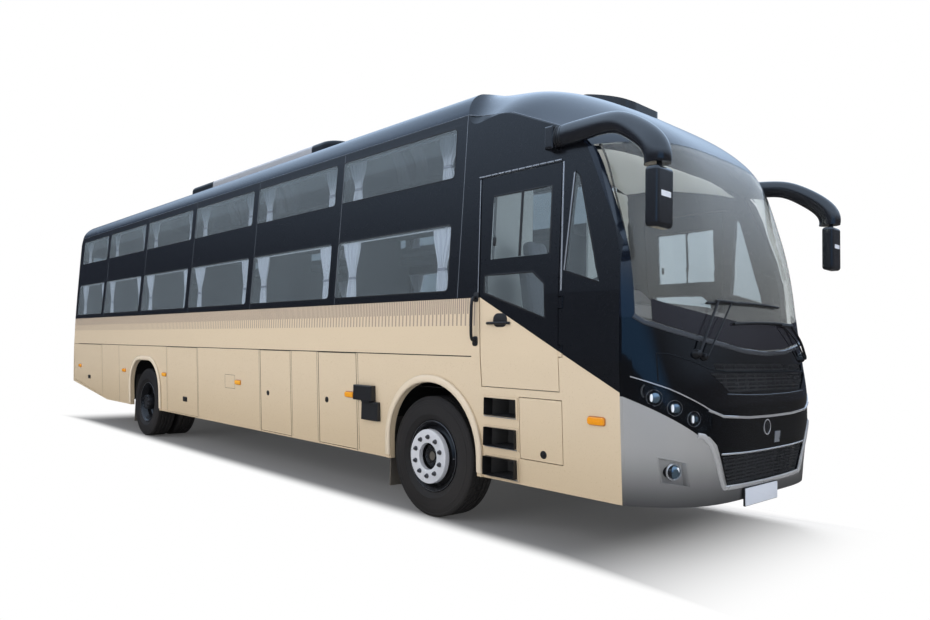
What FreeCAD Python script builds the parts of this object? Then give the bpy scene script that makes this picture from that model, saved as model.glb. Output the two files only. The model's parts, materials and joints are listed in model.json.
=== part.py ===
import FreeCAD, Part
import math
import os
from FreeCAD import Vector

# Coach bus. Millimetres, +X to the front, +Y to the left, +Z up, wheels on z = 0.
# The drawing's zero is on the ground under the front axle. export_all() moves every
# piece so that the origin lies at the centre of the footprint.

# Driving dimensions of the whole bus
wheelbase = 6850.0
front_overhang = 2440.0
rear_overhang = 4050.0
half_width = 1300.0
half_skirt = 1240.0
half_gutter = 1218.0
skirt_z = 438.0
crease_z = 1400.0
belt_z = 1885.0
gutter_z = 3470.0
roof_corner_radius = 235.0
roof_crown_radius = 4500.0
wall = 45.0
nose_wall = 50.0
panel_gap = 6.0
seat_gap = 0.3
nose_x = front_overhang
rear_axle_x = -wheelbase
tail_x = rear_axle_x - rear_overhang

# Wheels and axles
tyre_radius = 522.0
tyre_width = 298.0
tyre_outer_y = 1240.0
twin_spacing = 335.0
rim_flange_radius = 304.0
bead_radius = 286.0
bead_inset = 44.0
rim_wall = 9.0
well_radius = 258.0
disc_thickness = 14.0
hub_radius = 112.0
spindle_radius = 40.0
kingpin_y = 900.0
kingpin_radius = 25.0
eye_radius = 58.0
eye_half_height = 68.0
lug_height = 60.0
steering_arm = 250.0

# Floor, frame and hold
floor_z = 1340.0
cab_floor_z = 1180.0
floor_thickness = 40.0
cab_front_x = 1840.0
cab_step_x = 560.0
rail_outer_y = 430.0
rail_flange = 75.0
rail_top_z = 980.0
rail_height = 240.0
rail_web = 10.0
rail_front_x = 1900.0
rail_rear_x = tail_x + 600.0
hold_z = 500.0
hold_wall = 20.0
hold_front_x = -1082.0
hold_rear_x = rear_axle_x + 925.0

# Windows: bays between pillars, each with a low and a high pane
pillar_x = 369.0
bay_pitch = 1866.0
pane_width = 1752.0
pane_front_inset = 127.0
last_pane_x = tail_x + 340.0
bay_count = round((pillar_x - last_pane_x) / bay_pitch)
low_pane_z = (1950.0, 2530.0)
high_pane_z = (2935.0, 3380.0)
pane_thickness = 12.0
pane_corner = 40.0

# Doors
door_rear_foot_x = 665.0
door_rear_top_x = 580.0
door_front_foot_x = 1470.0
door_front_top_x = 1440.0
door_top_z = 2873.0
driver_door_z = 1162.0
passenger_door_z = 500.0
hinge_inset = 12.0
hinge_offset = 15.0
knuckle_length = 80.0
pin_radius = 5.0
pin_reach = 20.0
door_rear_gap = 10.0

# Wheel arches
front_arch_x = 26.0
front_arch_half = 573.0
front_arch_z = 1165.0
front_arch_corner = 560.0
rear_arch_x = rear_axle_x - 6.0
rear_arch_half = 612.0
rear_arch_z = 1176.0
rear_arch_corner = 430.0
flare_width = 70.0
flare_steps = ((0.0, 7.0), (12.0, 14.0))

# Luggage flaps, rear edge and front edge, and their foot
flap_spans = ((tail_x + 260.0, rear_axle_x - 2122.0), (hold_rear_x, hold_rear_x + 1062.0), (-3056.0, -2357.0),
              (-1775.0, hold_front_x))
flap_foot_z = 452.0
departure_x = rear_axle_x - 1861.0
departure_slope = 0.133
departure_drop = 41.0
hatch_span = (1067.0, 1490.0)
hatch_z = (634.0, 1106.0)

# Step pockets below the driver's door, foot and top of each
step_span = (700.0, 1040.0)
step_pockets = ((470.0, 618.0), (700.0, 847.0), (940.0, 1080.0))
step_depth = 260.0
step_frame = (16.0, 8.0)

# Nose stations from the skirt up over the roof: setback behind the foremost point
# and height on the centre line, the same at the side wall, and the power of the
# corner between them.
nose_stations = (
    (55.0, 330.0, 435.0, 330.0, 4.6),
    (30.0, 600.0, 430.0, 560.0, 4.8),
    (0.0, 900.0, 430.0, 860.0, 4.8),
    (2.0, 1180.0, 435.0, 1150.0, 4.6),
    (40.0, 1440.0, 435.0, 1420.0, 4.2),
    (95.0, 1800.0, 440.0, 1760.0, 4.0),
    (165.0, 2250.0, 475.0, 2200.0, 4.0),
    (275.0, 2700.0, 610.0, 2640.0, 4.0),
    (400.0, 3020.0, 750.0, 2960.0, 4.0),
    (640.0, 3270.0, 1040.0, 3150.0, 4.2),
    (1020.0, 3500.0, 1390.0, 3310.0, 4.8),
    (1540.0, 3690.0, 1740.0, 3410.0, 5.4),
)
roof_seam_x = 373.0
seam_run = 700.0
seam_rise = 110.0

# Tail in side view and in plan: setback ahead of the rearmost point and height, and
# setback and distance from the centre line of the back's edge, corner and side.
tail_profile = ((260.0, 150.0), (110.0, 700.0), (20.0, 1200.0), (0.0, 1900.0), (30.0, 2700.0), (110.0, 3300.0),
                (260.0, 3570.0), (560.0, 3745.0), (1100.0, 3850.0), (1700.0, 3890.0))
tail_plan = ((55.0, 1060.0), (110.0, 1205.0), (280.0, 1310.0))
station_fractions = (0.0, 0.3, 0.55, 0.75, 0.88, 0.96, 1.04)

pieces_made = {}


def save(name, shape):
    pieces_made[name] = shape


def export_all():
    # the origin goes to the middle of the length, on the ground
    front = pieces_made["front_mask"].optimalBoundingBox(False, False).XMax
    rear = pieces_made["rear_panel"].optimalBoundingBox(False, False).XMin
    shift_x = -(front + rear) / 2
    print("front axle lies at x = %.3f mm" % shift_x)
    for name, shape in pieces_made.items():
        placed = shape.copy()
        placed.translate(Vector(shift_x, 0, 0))
        placed.exportStep(os.path.join("parts", name + ".step"))


def block(x0, x1, y0, y1, z0, z1):
    return Part.makeBox(x1 - x0, y1 - y0, z1 - z0, Vector(x0, y0, z0))


def rod(start, end, radius):
    run = Vector(*end) - Vector(*start)
    return Part.makeCylinder(radius, run.Length, Vector(*start), run)


def mirrored(shape):
    return shape.mirror(Vector(0, 0, 0), Vector(0, 1, 0))


def fused(shapes):
    whole = shapes[0]
    if len(shapes) > 1:
        whole = whole.multiFuse(shapes[1:])
    return whole.removeSplitter()


def largest(shape):
    # leaves out the slivers where two curved skins meet
    return max(shape.Solids, key=lambda solid: solid.Volume)


def side_prism(points, y0, y1):
    # points are (x, z); the prism runs along Y
    wire = Part.makePolygon([Vector(x, y0, z) for x, z in points] + [Vector(points[0][0], y0, points[0][1])])
    return Part.Face(wire).extrude(Vector(0, y1 - y0, 0))


def front_prism(points, x0, x1):
    # points are (y, z); the prism runs along X
    wire = Part.makePolygon([Vector(x0, y, z) for y, z in points] + [Vector(x0, points[0][0], points[0][1])])
    return Part.Face(wire).extrude(Vector(x1 - x0, 0, 0))


def rounded_prism(x0, x1, z0, z1, radius, y0, y1):
    body = block(x0, x1, y0, y1, z0, z1)
    upright = [edge for edge in body.Edges if abs(edge.tangentAt(edge.FirstParameter).y) > 0.9]
    return body.makeFillet(radius, upright)


# The cross-section of the body, seen from the rear, for any inset from the skin
def crown_centre_z():
    reach = roof_crown_radius - roof_corner_radius
    offset = half_gutter - roof_corner_radius
    return gutter_z - math.sqrt(reach ** 2 - offset ** 2)


def crown_z(y):
    # height of the roof's outer skin at a distance from the centre line
    join_y = crown_join(0.0)[0]
    if abs(y) <= join_y:
        return crown_centre_z() + math.sqrt(roof_crown_radius ** 2 - y ** 2)
    over = abs(y) - (half_gutter - roof_corner_radius)
    if over < roof_corner_radius:
        return gutter_z + math.sqrt(roof_corner_radius ** 2 - over ** 2)
    return gutter_z - 3.0 * (abs(y) - half_gutter)


def crown_join(inset):
    corner_y = half_gutter - roof_corner_radius
    scale = (roof_crown_radius - inset) / (roof_crown_radius - roof_corner_radius)
    return (corner_y * scale, crown_centre_z() + (gutter_z - crown_centre_z()) * scale)


def section_prism(inset, foot_z, x0, x1):
    corner_y = half_gutter - roof_corner_radius
    corner_radius = roof_corner_radius - inset
    join_y, join_z = crown_join(inset)
    start = math.atan2(join_z - gutter_z, join_y - corner_y) / 2
    bend = (corner_y + corner_radius * math.cos(start), gutter_z + corner_radius * math.sin(start))
    foot_y = half_skirt - (skirt_z - foot_z) * (half_width - half_skirt) / (crease_z - skirt_z)
    right = [(-foot_y + inset, foot_z), (-half_width + inset, crease_z), (-half_width + inset, belt_z),
             (-half_gutter + inset, gutter_z)]
    points = [Vector(x0, y, z) for y, z in right]
    other = [Vector(x0, -y, z) for y, z in reversed(right)]
    edges = [Part.LineSegment(a, b).toShape() for a, b in zip(points, points[1:])]
    joint_right = Vector(x0, -join_y, join_z)
    joint_left = Vector(x0, join_y, join_z)
    apex = Vector(x0, 0, crown_centre_z() + roof_crown_radius - inset)
    edges.append(Part.Arc(points[-1], Vector(x0, -bend[0], bend[1]), joint_right).toShape())
    edges.append(Part.Arc(joint_right, apex, joint_left).toShape())
    edges.append(Part.Arc(joint_left, Vector(x0, bend[0], bend[1]), other[0]).toShape())
    edges += [Part.LineSegment(a, b).toShape() for a, b in zip(other, other[1:])]
    edges.append(Part.LineSegment(other[-1], points[0]).toShape())
    return Part.Face(Part.Wire(edges)).extrude(Vector(x1 - x0, 0, 0))


def side_y(z):
    # outer skin's distance from the centre line at a height
    if z <= crease_z:
        return half_skirt + (z - skirt_z) * (half_width - half_skirt) / (crease_z - skirt_z)
    if z <= belt_z:
        return half_width
    return half_width - (z - belt_z) * (half_width - half_gutter) / (gutter_z - belt_z)


def end_rows(stations, foremost, seam_x):
    # rows of points of the nose surface, from below the skirt to above the roof
    fractions = [-f for f in reversed(station_fractions[1:])] + list(station_fractions)
    rows = []
    for centre_back, centre_z, side_back, side_z, power in stations:
        reach = side_y(centre_z)
        row = []
        for fraction in fractions:
            share = abs(fraction) ** power
            back = centre_back + (side_back - centre_back) * share
            row.append(Vector(foremost - back, fraction * reach, centre_z + (side_z - centre_z) * share))
        rows.append(row)
    for run, rise in ((0.0, 0.0), (seam_run, seam_rise)):
        row = []
        for fraction in fractions:
            y = fraction * half_gutter
            row.append(Vector(seam_x - run, y, crown_z(y) + rise))
        rows.append(row)
    return rows


def nose_keeper(back, drop):
    # everything behind the nose surface, moved back and down
    moved = [[point + Vector(-back, 0, -drop) for point in row] for row in nose_rows]
    surface = Part.BSplineSurface()
    surface.interpolate(moved)
    return surface.toShape().extrude(Vector(-3 * wheelbase, 0, 0))


def tail_keeper(inset):
    # everything ahead of the tail's skin, moved inwards by an inset
    wide = half_width + 100
    far = nose_x + 200
    curve = Part.BSplineCurve()
    curve.interpolate([Vector(tail_x + back + inset, -wide, z - inset) for back, z in tail_profile])
    corners = [curve.EndPoint, Vector(far, -wide, curve.EndPoint.z), Vector(far, -wide, curve.StartPoint.z),
               curve.StartPoint]
    edges = [Part.LineSegment(a, b).toShape() for a, b in zip(corners, corners[1:])]
    side_view = Part.Face(Part.Wire([curve.toShape()] + edges)).extrude(Vector(0, 2 * wide, 0))
    edge, corner, side = [Vector(tail_x + back + inset, y - inset, 0) for back, y in tail_plan]
    other = [Vector(point.x, -point.y, 0) for point in (edge, corner, side)]
    front = [side, Vector(far, side.y, 0), Vector(far, -side.y, 0), other[2]]
    edges = [Part.Arc(other[0], Vector(tail_x + inset, 0, 0), edge).toShape(), Part.Arc(edge, corner, side).toShape()]
    edges += [Part.LineSegment(a, b).toShape() for a, b in zip(front, front[1:])]
    edges.append(Part.Arc(other[2], other[1], other[0]).toShape())
    plan = Part.Face(Part.Wire(edges)).extrude(Vector(0, 0, 2 * gutter_z))
    return side_view.common(plan)


nose_rows = end_rows(nose_stations, nose_x, roof_seam_x)
body_ends = (tail_x - 100, nose_x + 100)
inner_foot_z = skirt_z - 100

outer_prism = section_prism(0.0, skirt_z, *body_ends)
inner_prism = section_prism(wall, inner_foot_z, *body_ends)
outer_body = outer_prism.common(nose_keeper(0.0, 0.0)).common(tail_keeper(0.0))
departure_end = (tail_x - 200, skirt_z + (departure_x - tail_x + 200) * departure_slope - departure_drop)
departure_outline = ((departure_x, skirt_z - 50), (departure_x, skirt_z), departure_end,
                     (tail_x - 200, skirt_z - 50))
departure = side_prism(departure_outline, -2 * half_width, 2 * half_width)
outer_body = outer_body.cut(departure)
skin_ring = outer_body.cut(inner_prism)
core = outer_body.common(inner_prism)
nose_shell = core.cut(nose_keeper(nose_wall, nose_wall))
tail_shell = core.cut(tail_keeper(nose_wall))

# Regions of the nose in side view and in front view
nose_joint_x = 1985.0
cap_line = ((roof_seam_x, gutter_z), (900.0, 3375.0), (1420.0, 3144.0), (1655.0, 2957.0), (nose_joint_x, 2221.0))


def nose_zone():
    points = list(cap_line) + [(nose_joint_x, inner_foot_z), (nose_x + 200, inner_foot_z),
                               (nose_x + 200, 4100.0), (roof_seam_x, 4100.0)]
    return side_prism(points, -2 * half_width, 2 * half_width)


screen_side_y = 1236.0
cowl_centre_z = 1474.0
cowl_side_z = 1700.0
visor_centre_z = 3045.0
visor_side_z = 2950.0


def arc_between(side, side_z, centre_z, x):
    return Part.Arc(Vector(x, -side, side_z), Vector(x, 0, centre_z), Vector(x, side, side_z)).toShape()


def screen_prism(side, low_side, low_centre, high_side, high_centre):
    # the windscreen's outline in front view, between two arcs
    x = cab_step_x
    low = arc_between(side, low_side, low_centre, x)
    high = arc_between(side, high_side, high_centre, x)
    left = Part.LineSegment(Vector(x, side, low_side), Vector(x, side, high_side)).toShape()
    right = Part.LineSegment(Vector(x, -side, low_side), Vector(x, -side, high_side)).toShape()
    return Part.Face(Part.Wire([low, left, high, right])).extrude(Vector(nose_x + 200 - x, 0, 0))


def below_cowl():
    x = cab_step_x
    wide = half_width + 100
    arc = arc_between(screen_side_y, cowl_side_z, cowl_centre_z, x)
    outline = ((screen_side_y, cowl_side_z), (wide, cowl_side_z), (wide, 0), (-wide, 0), (-wide, cowl_side_z),
               (-screen_side_y, cowl_side_z))
    points = [Vector(x, y, z) for y, z in outline]
    edges = [Part.LineSegment(a, b).toShape() for a, b in zip(points, points[1:])]
    return Part.Face(Part.Wire([arc] + edges)).extrude(Vector(nose_x + 200 - x, 0, 0))


# The bumper's upper edge in front view, from the side inwards
bumper_edge = ((1400.0, 1243.0), (1313.0, 1185.0), (887.0, 905.0), (823.0, 910.0), (745.0, 846.0), (585.0, 545.0))


def bumper_region():
    right = [(-y, z) for y, z in bumper_edge]
    left = [(y, z) for y, z in reversed(bumper_edge)]
    points = right + left + [(1400.0, 0.0), (-1400.0, 0.0)]
    return front_prism(points, cab_step_x, nose_x + 200)


nose_raw = nose_shell.fuse(skin_ring.common(nose_zone()))


def build_nose():
    opening = screen_prism(screen_side_y, cowl_side_z, cowl_centre_z, visor_side_z, visor_centre_z)
    lower = nose_raw.common(below_cowl())
    upper = nose_raw.cut(below_cowl())
    save("front_cap", upper.cut(opening))
    pane_rows = nose_keeper(pane_thickness, pane_thickness)
    screen = screen_prism(screen_side_y - seat_gap, cowl_side_z + seat_gap, cowl_centre_z + seat_gap,
                          visor_side_z - seat_gap, visor_centre_z - seat_gap)
    save("windscreen", core.cut(pane_rows).common(screen))
    mask = lower.cut(bumper_region())
    for outline in grille_outlines:
        mask = mask.cut(front_prism(outline, cab_step_x, nose_x + 200))
    bumper = lower.common(bumper_region())
    for side in (-1, 1):
        mask = mask.cut(nose_layer(side, lamp_band, -seat_gap, -nose_wall, lamp_depth + seat_gap))
        bumper = bumper.cut(nose_layer(side, fog_outline, 0.0, -nose_wall, fog_depth))
    save("front_mask", mask)
    save("front_bumper", bumper)


def nose_layer(side, outline, gap, shallow, deep):
    # what lies within an outline in front view, between two depths below the nose surface
    shape = front_prism([(side * y, z) for y, z in inset_outline(outline, gap)], cab_step_x, nose_x + 200)
    return shape.common(nose_keeper(shallow, 0.0)).cut(nose_keeper(deep, 0.0))


# The three grilles in the mask, in front view: outline and height of one row of openings
upper_grille = ((-738.0, 1402.0), (-720.0, 1350.0), (720.0, 1350.0), (738.0, 1402.0))
main_grille = ((-787.0, 1334.0), (-607.0, 1203.0), (607.0, 1203.0), (787.0, 1334.0))
lower_grille = ((-675.0, 760.0), (-585.0, 562.0), (585.0, 562.0), (675.0, 760.0))
grille_outlines = (upper_grille, main_grille, lower_grille)
grille_row = 26.0
grille_bar = 8.0
grille_upright = 150.0
grille_front = 18.0
grille_depth = 20.0


def grille_lattice(outline):
    # level slats and a few uprights in a rim, following the nose surface
    sheet = nose_layer(1, outline, seat_gap, grille_front, grille_front + grille_depth)
    foot = min(z for y, z in outline) + grille_bar
    top = max(z for y, z in outline) - grille_bar
    half = max(y for y, z in outline)
    rows = round((top - foot) / grille_row)
    columns = math.ceil(half / grille_upright)
    inner = inset_outline(outline, grille_bar)
    holes = []
    for row in range(rows):
        z = foot + row * (top - foot) / rows
        for column in range(-columns, columns):
            y = column * grille_upright + grille_bar / 2
            holes.append(block(cab_step_x, nose_x + 200, y, y + grille_upright - grille_bar, z + grille_bar / 2,
                               z + (top - foot) / rows - grille_bar / 2))
    return sheet.cut(Part.makeCompound(holes).common(front_prism(inner, cab_step_x, nose_x + 200)))


def build_grilles():
    save("front_grilles", Part.makeCompound([grille_lattice(outline) for outline in grille_outlines]))


def build_roof():
    above = block(body_ends[0], roof_seam_x, -half_width, half_width, gutter_z, gutter_z + 600)
    save("roof", largest(skin_ring.common(above)))


lid_half = 620.0
lid_z = (780.0, 1500.0)
rear_pane_half = 980.0
rear_pane_z = (2330.0, 3130.0)


def tail_skin_x(y, z):
    probe = Part.makeLine(Vector(0, y, z), Vector(tail_x - 300, y, z)).common(outer_body)
    return probe.BoundBox.XMin


def lid_axis():
    # low enough for the lid's bulging middle to turn below the opening's upper edge
    edge_z = lid_z[1] - panel_gap
    x = tail_skin_x(lid_half, edge_z) + hinge_inset
    return (x, edge_z - (x - tail_skin_x(0.0, edge_z)))


def lid_rod(half, radius):
    x, z = lid_axis()
    return rod((x, -half, z), (x, half, z), radius)


def tail_prism(half, z0, z1):
    return block(tail_x - 200, tail_x + 450, -half, half, z0, z1)


def build_tail():
    panel = tail_shell.cut(tail_prism(lid_half, *lid_z)).cut(tail_prism(rear_pane_half, *rear_pane_z))
    panel = panel.cut(lid_rod(lid_half + pin_reach, pin_radius + seat_gap))
    save("rear_panel", largest(panel))
    lid = tail_shell.common(tail_prism(lid_half - panel_gap, lid_z[0] + panel_gap, lid_axis()[1]))
    barrel = lid_rod(lid_half - panel_gap, hinge_inset)
    save("engine_lid", fused([lid, barrel, lid_rod(lid_half + pin_reach, pin_radius)]))


def rear_pane():
    sheet = core.cut(tail_keeper(pane_thickness))
    return sheet.common(tail_prism(rear_pane_half - seat_gap, rear_pane_z[0] + seat_gap, rear_pane_z[1] - seat_gap))


def bay_spans():
    spans = []
    for bay in range(bay_count):
        front = pillar_x - bay * bay_pitch - pane_front_inset
        spans.append((max(front - pane_width, last_pane_x), front))
    return spans


def pane_openings(shrink):
    # the side windows of one bay row, as prisms through the right wall
    prisms = []
    for rear, front in bay_spans():
        for low, high in (low_pane_z, high_pane_z):
            prisms.append(rounded_prism(rear + shrink, front - shrink, low + shrink, high - shrink,
                                        pane_corner, -half_width - 50, -half_gutter + 2 * wall))
    return prisms


quarter_pane = ((1508.0, 2045.0), (1565.0, 2778.0), (1610.0, 2729.0), (1813.0, 1946.0))


def quarter_opening():
    return side_prism(quarter_pane, -half_width - 50, -half_gutter + 2 * wall)


def arch_prism(centre_x, half, top_z, corner):
    # an arch with two rounded upper corners, through the right wall
    body = block(centre_x - half, centre_x + half, -half_width - 50, -half_gutter + 3 * wall, skirt_z - 50, top_z)
    corners = [edge for edge in body.Edges if edge.BoundBox.ZMin > top_z - 1 and edge.BoundBox.YLength > wall]
    return body.makeFillet(corner, corners)


def arch_flare(centre_x, half, top_z, corner):
    # a lip round the arch, raised in two steps
    rings = []
    for margin, proud in flare_steps:
        reach = flare_width - margin
        ring = arch_prism(centre_x, half + reach, top_z + reach, corner + reach)
        ring = ring.cut(arch_prism(centre_x, half + margin, top_z + margin, corner + margin))
        rings.append(ring.common(section_prism(-proud, skirt_z, centre_x - 2 * half, centre_x + 2 * half)))
    return [ring.cut(section_prism(wall / 2, inner_foot_z, *body_ends)) for ring in rings]


def flap_outline(span, gap):
    rear, front = span
    top = crease_z - 5 - hinge_inset
    foot_rear = max(flap_foot_z, flap_foot_z + (departure_x - rear) * departure_slope)
    foot_front = max(flap_foot_z, flap_foot_z + (departure_x - front) * departure_slope)
    return ((rear + gap, foot_rear + gap), (rear + gap, top), (front - gap, top), (front - gap, foot_front + gap))


def flap_opening(span):
    rear, front = span
    points = list(flap_outline(span, 0.0))
    points[1] = (rear, crease_z)
    points[2] = (front, crease_z)
    cut = side_prism(points, -half_width - 50, -half_gutter + 3 * wall)
    return cut.fuse(flap_pin(span, pin_radius + seat_gap))


def flap_axis():
    return (-side_y(crease_z) + hinge_inset, crease_z - 5 - hinge_inset)


def flap_pin(span, radius):
    y, z = flap_axis()
    return rod((span[0] - pin_reach, y, z), (span[1] + pin_reach, y, z), radius)


def flap_panel(span):
    y, z = flap_axis()
    panel = skin_ring.common(side_prism(flap_outline(span, panel_gap), -half_width - 50, 0.0))
    barrel = rod((span[0] + panel_gap, y, z), (span[1] - panel_gap, y, z), hinge_inset)
    return fused([panel, barrel, flap_pin(span, pin_radius)])


def hatch_axis():
    z = hatch_z[1] - 5 - hinge_inset
    return (-side_y(z) + hinge_inset, z)


def hatch_pin(radius):
    y, z = hatch_axis()
    return rod((hatch_span[0] - pin_reach, y, z), (hatch_span[1] + pin_reach, y, z), radius)


def hatch_opening():
    cut = side_prism(((hatch_span[0], hatch_z[0]), (hatch_span[0], hatch_z[1]), (hatch_span[1], hatch_z[1]),
                      (hatch_span[1], hatch_z[0])), -half_width - 50, -half_gutter + 3 * wall)
    return cut.fuse(hatch_pin(pin_radius + seat_gap))


def hatch_panel():
    y, z = hatch_axis()
    outline = ((hatch_span[0] + panel_gap, hatch_z[0] + panel_gap), (hatch_span[0] + panel_gap, z),
               (hatch_span[1] - panel_gap, z), (hatch_span[1] - panel_gap, hatch_z[0] + panel_gap))
    panel = skin_ring.common(side_prism(outline, -half_width - 50, 0.0))
    barrel = rod((hatch_span[0] + panel_gap, y, z), (hatch_span[1] - panel_gap, y, z), hinge_inset)
    return fused([panel, barrel, hatch_pin(pin_radius)])


def door_outline(foot_z, gap):
    # the rear edge swings on a wide arc, so its gap is wider
    rear_gap = gap * door_rear_gap / panel_gap
    return ((door_rear_foot_x + rear_gap, foot_z + gap), (door_rear_top_x + rear_gap, door_top_z - gap),
            (door_front_top_x - gap, door_top_z - gap), (door_front_foot_x - gap, foot_z + gap))


door_axis = (door_front_foot_x + hinge_offset, -half_width + hinge_inset)
knuckle_feet = (crease_z + 20, belt_z - 110)


def door_opening(foot_z):
    cut = side_prism(door_outline(foot_z, 0.0), -half_width - 50, -half_gutter + 3 * wall)
    x, y = door_axis
    notches = []
    for z in knuckle_feet:
        notches.append(block(door_front_top_x - 50, x + hinge_inset + panel_gap, -half_width - 50,
                             y + 2 * hinge_inset, z - panel_gap, z + knuckle_length + panel_gap))
    return fused([cut] + notches)


def door_pins():
    x, y = door_axis
    reach = panel_gap + 2
    return [rod((x, y, z - reach), (x, y, z + knuckle_length + reach), pin_radius) for z in knuckle_feet]


def door_leaf(foot_z):
    x, y = door_axis
    leaf = skin_ring.common(side_prism(door_outline(foot_z, panel_gap), -half_width - 50, 0.0))
    pieces = [leaf]
    for z in knuckle_feet:
        arm = block(door_front_top_x - 40, x, y - hinge_inset + 3, y + hinge_inset - 3, z, z + knuckle_length)
        pieces += [arm, rod((x, y, z), (x, y, z + knuckle_length), hinge_inset - 3)]
    leaf = fused(pieces)
    for z in knuckle_feet:
        leaf = leaf.cut(rod((x, y, z - 1), (x, y, z + knuckle_length + 1), pin_radius + seat_gap))
    return leaf


upper_door_pane = ((740.0, 2185.0), (737.0, 2704.0), (1350.0, 2704.0), (1356.0, 2185.0))
lower_door_pane = ((688.0, 1917.0), (682.0, 2058.0), (1197.0, 2058.0), (1316.0, 1961.0), (1331.0, 1704.0))


def door_glazing(outlines):
    sheet = outer_body.cut(section_prism(pane_thickness, inner_foot_z, *body_ends))
    return [sheet.common(side_prism(inset_outline(outline, seat_gap), -half_width - 50, 0.0)) for outline in outlines]


def inset_outline(points, gap):
    # the same outline with each edge moved inwards by the gap
    after = points[1:] + points[:1]
    turn = math.copysign(1.0, sum(a[0] * b[1] - b[0] * a[1] for a, b in zip(points, after)))
    lines = []
    for (x0, z0), (x1, z1) in zip(points, after):
        run, rise = x1 - x0, z1 - z0
        step = turn * gap / math.hypot(run, rise)
        lines.append((x0 - rise * step, z0 + run * step, run, rise))
    moved = []
    for (ax, az, arun, arise), (bx, bz, brun, brise) in zip(lines[-1:] + lines[:-1], lines):
        share = ((bx - ax) * brise - (bz - az) * brun) / (arun * brise - arise * brun)
        moved.append((ax + arun * share, az + arise * share))
    return tuple(moved)


def build_doors():
    leaf = door_leaf(driver_door_z)
    for outline in (upper_door_pane, lower_door_pane):
        leaf = leaf.cut(side_prism(outline, -half_width - 50, 0.0))
    save("driver_door", leaf)
    save("driver_door_glass", Part.makeCompound(door_glazing((upper_door_pane, lower_door_pane))))
    leaf = door_leaf(passenger_door_z)
    for outline in (upper_door_pane, lower_door_pane):
        leaf = leaf.cut(side_prism(outline, -half_width - 50, 0.0))
    save("passenger_door", mirrored(leaf))
    save("passenger_door_glass", mirrored(Part.makeCompound(door_glazing((upper_door_pane, lower_door_pane)))))


def side_wall(foot_z, openings, frames):
    zone = block(body_ends[0], nose_x + 100, -half_width - 50, 0.0, inner_foot_z, gutter_z)
    shell = skin_ring.common(zone).cut(nose_zone())
    shell = fused([shell] + arch_flare(*front_arch) + arch_flare(*rear_arch) + frames)
    cuts = [arch_prism(*front_arch), arch_prism(*rear_arch), quarter_opening(), door_opening(foot_z)]
    cuts += pane_openings(0.0) + [flap_opening(span) for span in flap_spans] + openings
    for tool in cuts:
        shell = shell.cut(tool)
    return fused([shell] + door_pins())


front_arch = (front_arch_x, front_arch_half, front_arch_z, front_arch_corner)
rear_arch = (rear_arch_x, rear_arch_half, rear_arch_z, rear_arch_corner)


def step_frames():
    # a raised frame round each step pocket
    margin, proud = step_frame
    frames = []
    for low, high in step_pockets:
        frame = block(step_span[0] - margin, step_span[1] + margin, -half_width - 50, -half_width + 2 * wall,
                      low - margin, high + margin)
        frame = frame.cut(block(step_span[0], step_span[1], -half_width - 50, -half_width + 3 * wall, low, high))
        frame = frame.common(section_prism(-proud, skirt_z, 0.0, cab_front_x))
        frames.append(frame.cut(section_prism(wall / 2, inner_foot_z, *body_ends)))
    return frames


def step_openings():
    return [block(step_span[0], step_span[1], -half_width - 50, -half_width + 3 * wall, low, high)
            for low, high in step_pockets]


def build_walls():
    save("side_wall_right", side_wall(driver_door_z, step_openings() + [hatch_opening()], step_frames()))
    save("side_wall_left", mirrored(side_wall(passenger_door_z, [], [])))


def build_flaps():
    for number, span in enumerate(flap_spans, 1):
        panel = flap_panel(span)
        save("flap_right_%d" % number, panel)
        save("flap_left_%d" % number, mirrored(panel))
    save("hatch_right", hatch_panel())


def build_panes():
    sheet = outer_body.cut(section_prism(pane_thickness, inner_foot_z, *body_ends))
    right = [sheet.common(tool) for tool in pane_openings(seat_gap)]
    right.append(sheet.common(side_prism(inset_outline(quarter_pane, seat_gap), -half_width - 50, 0.0)))
    save("window_panes", Part.makeCompound(right + [mirrored(pane) for pane in right] + [rear_pane()]))


# Floor, steps and hold
def build_floor():
    side = half_width - wall - seat_gap
    main = block(tail_x + 280, cab_step_x, -side, side, floor_z - floor_thickness, floor_z)
    cab = block(cab_step_x - floor_thickness, cab_front_x, -side + 14, side - 14, cab_floor_z - floor_thickness,
                cab_floor_z)
    riser = block(cab_step_x - floor_thickness, cab_step_x, -side + 14, side - 14, cab_floor_z, floor_z)
    well = block(door_rear_foot_x - 10, door_front_foot_x, well_inner_y, half_width, cab_floor_z - 200,
                 cab_floor_z + 100)
    deck = fused([main, cab, riser]).cut(well).common(section_prism(wall + panel_gap, inner_foot_z, *body_ends))
    ledges = []
    wall_y = half_width - wall - seat_gap
    for side in (-1, 1):
        ys = sorted((side * wall_y, side * (wall_y - ledge_width)))
        foot = sorted((side * (wall_y - ledge_width / 2), side * (wall_y - ledge_width)))
        ledges.append(block(tail_x + 400, 100.0, ys[0], ys[1], crease_z + panel_gap, crease_z + ledge_height))
        ledges.append(block(tail_x + 400, 100.0, foot[0], foot[1], floor_z - 5, crease_z + ledge_height))
    save("cabin_floor", fused([deck] + ledges))


well_inner_y = 640.0
tread_count = 4
tread_thickness = 25.0
ledge_width = 50.0
ledge_height = 40.0


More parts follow.
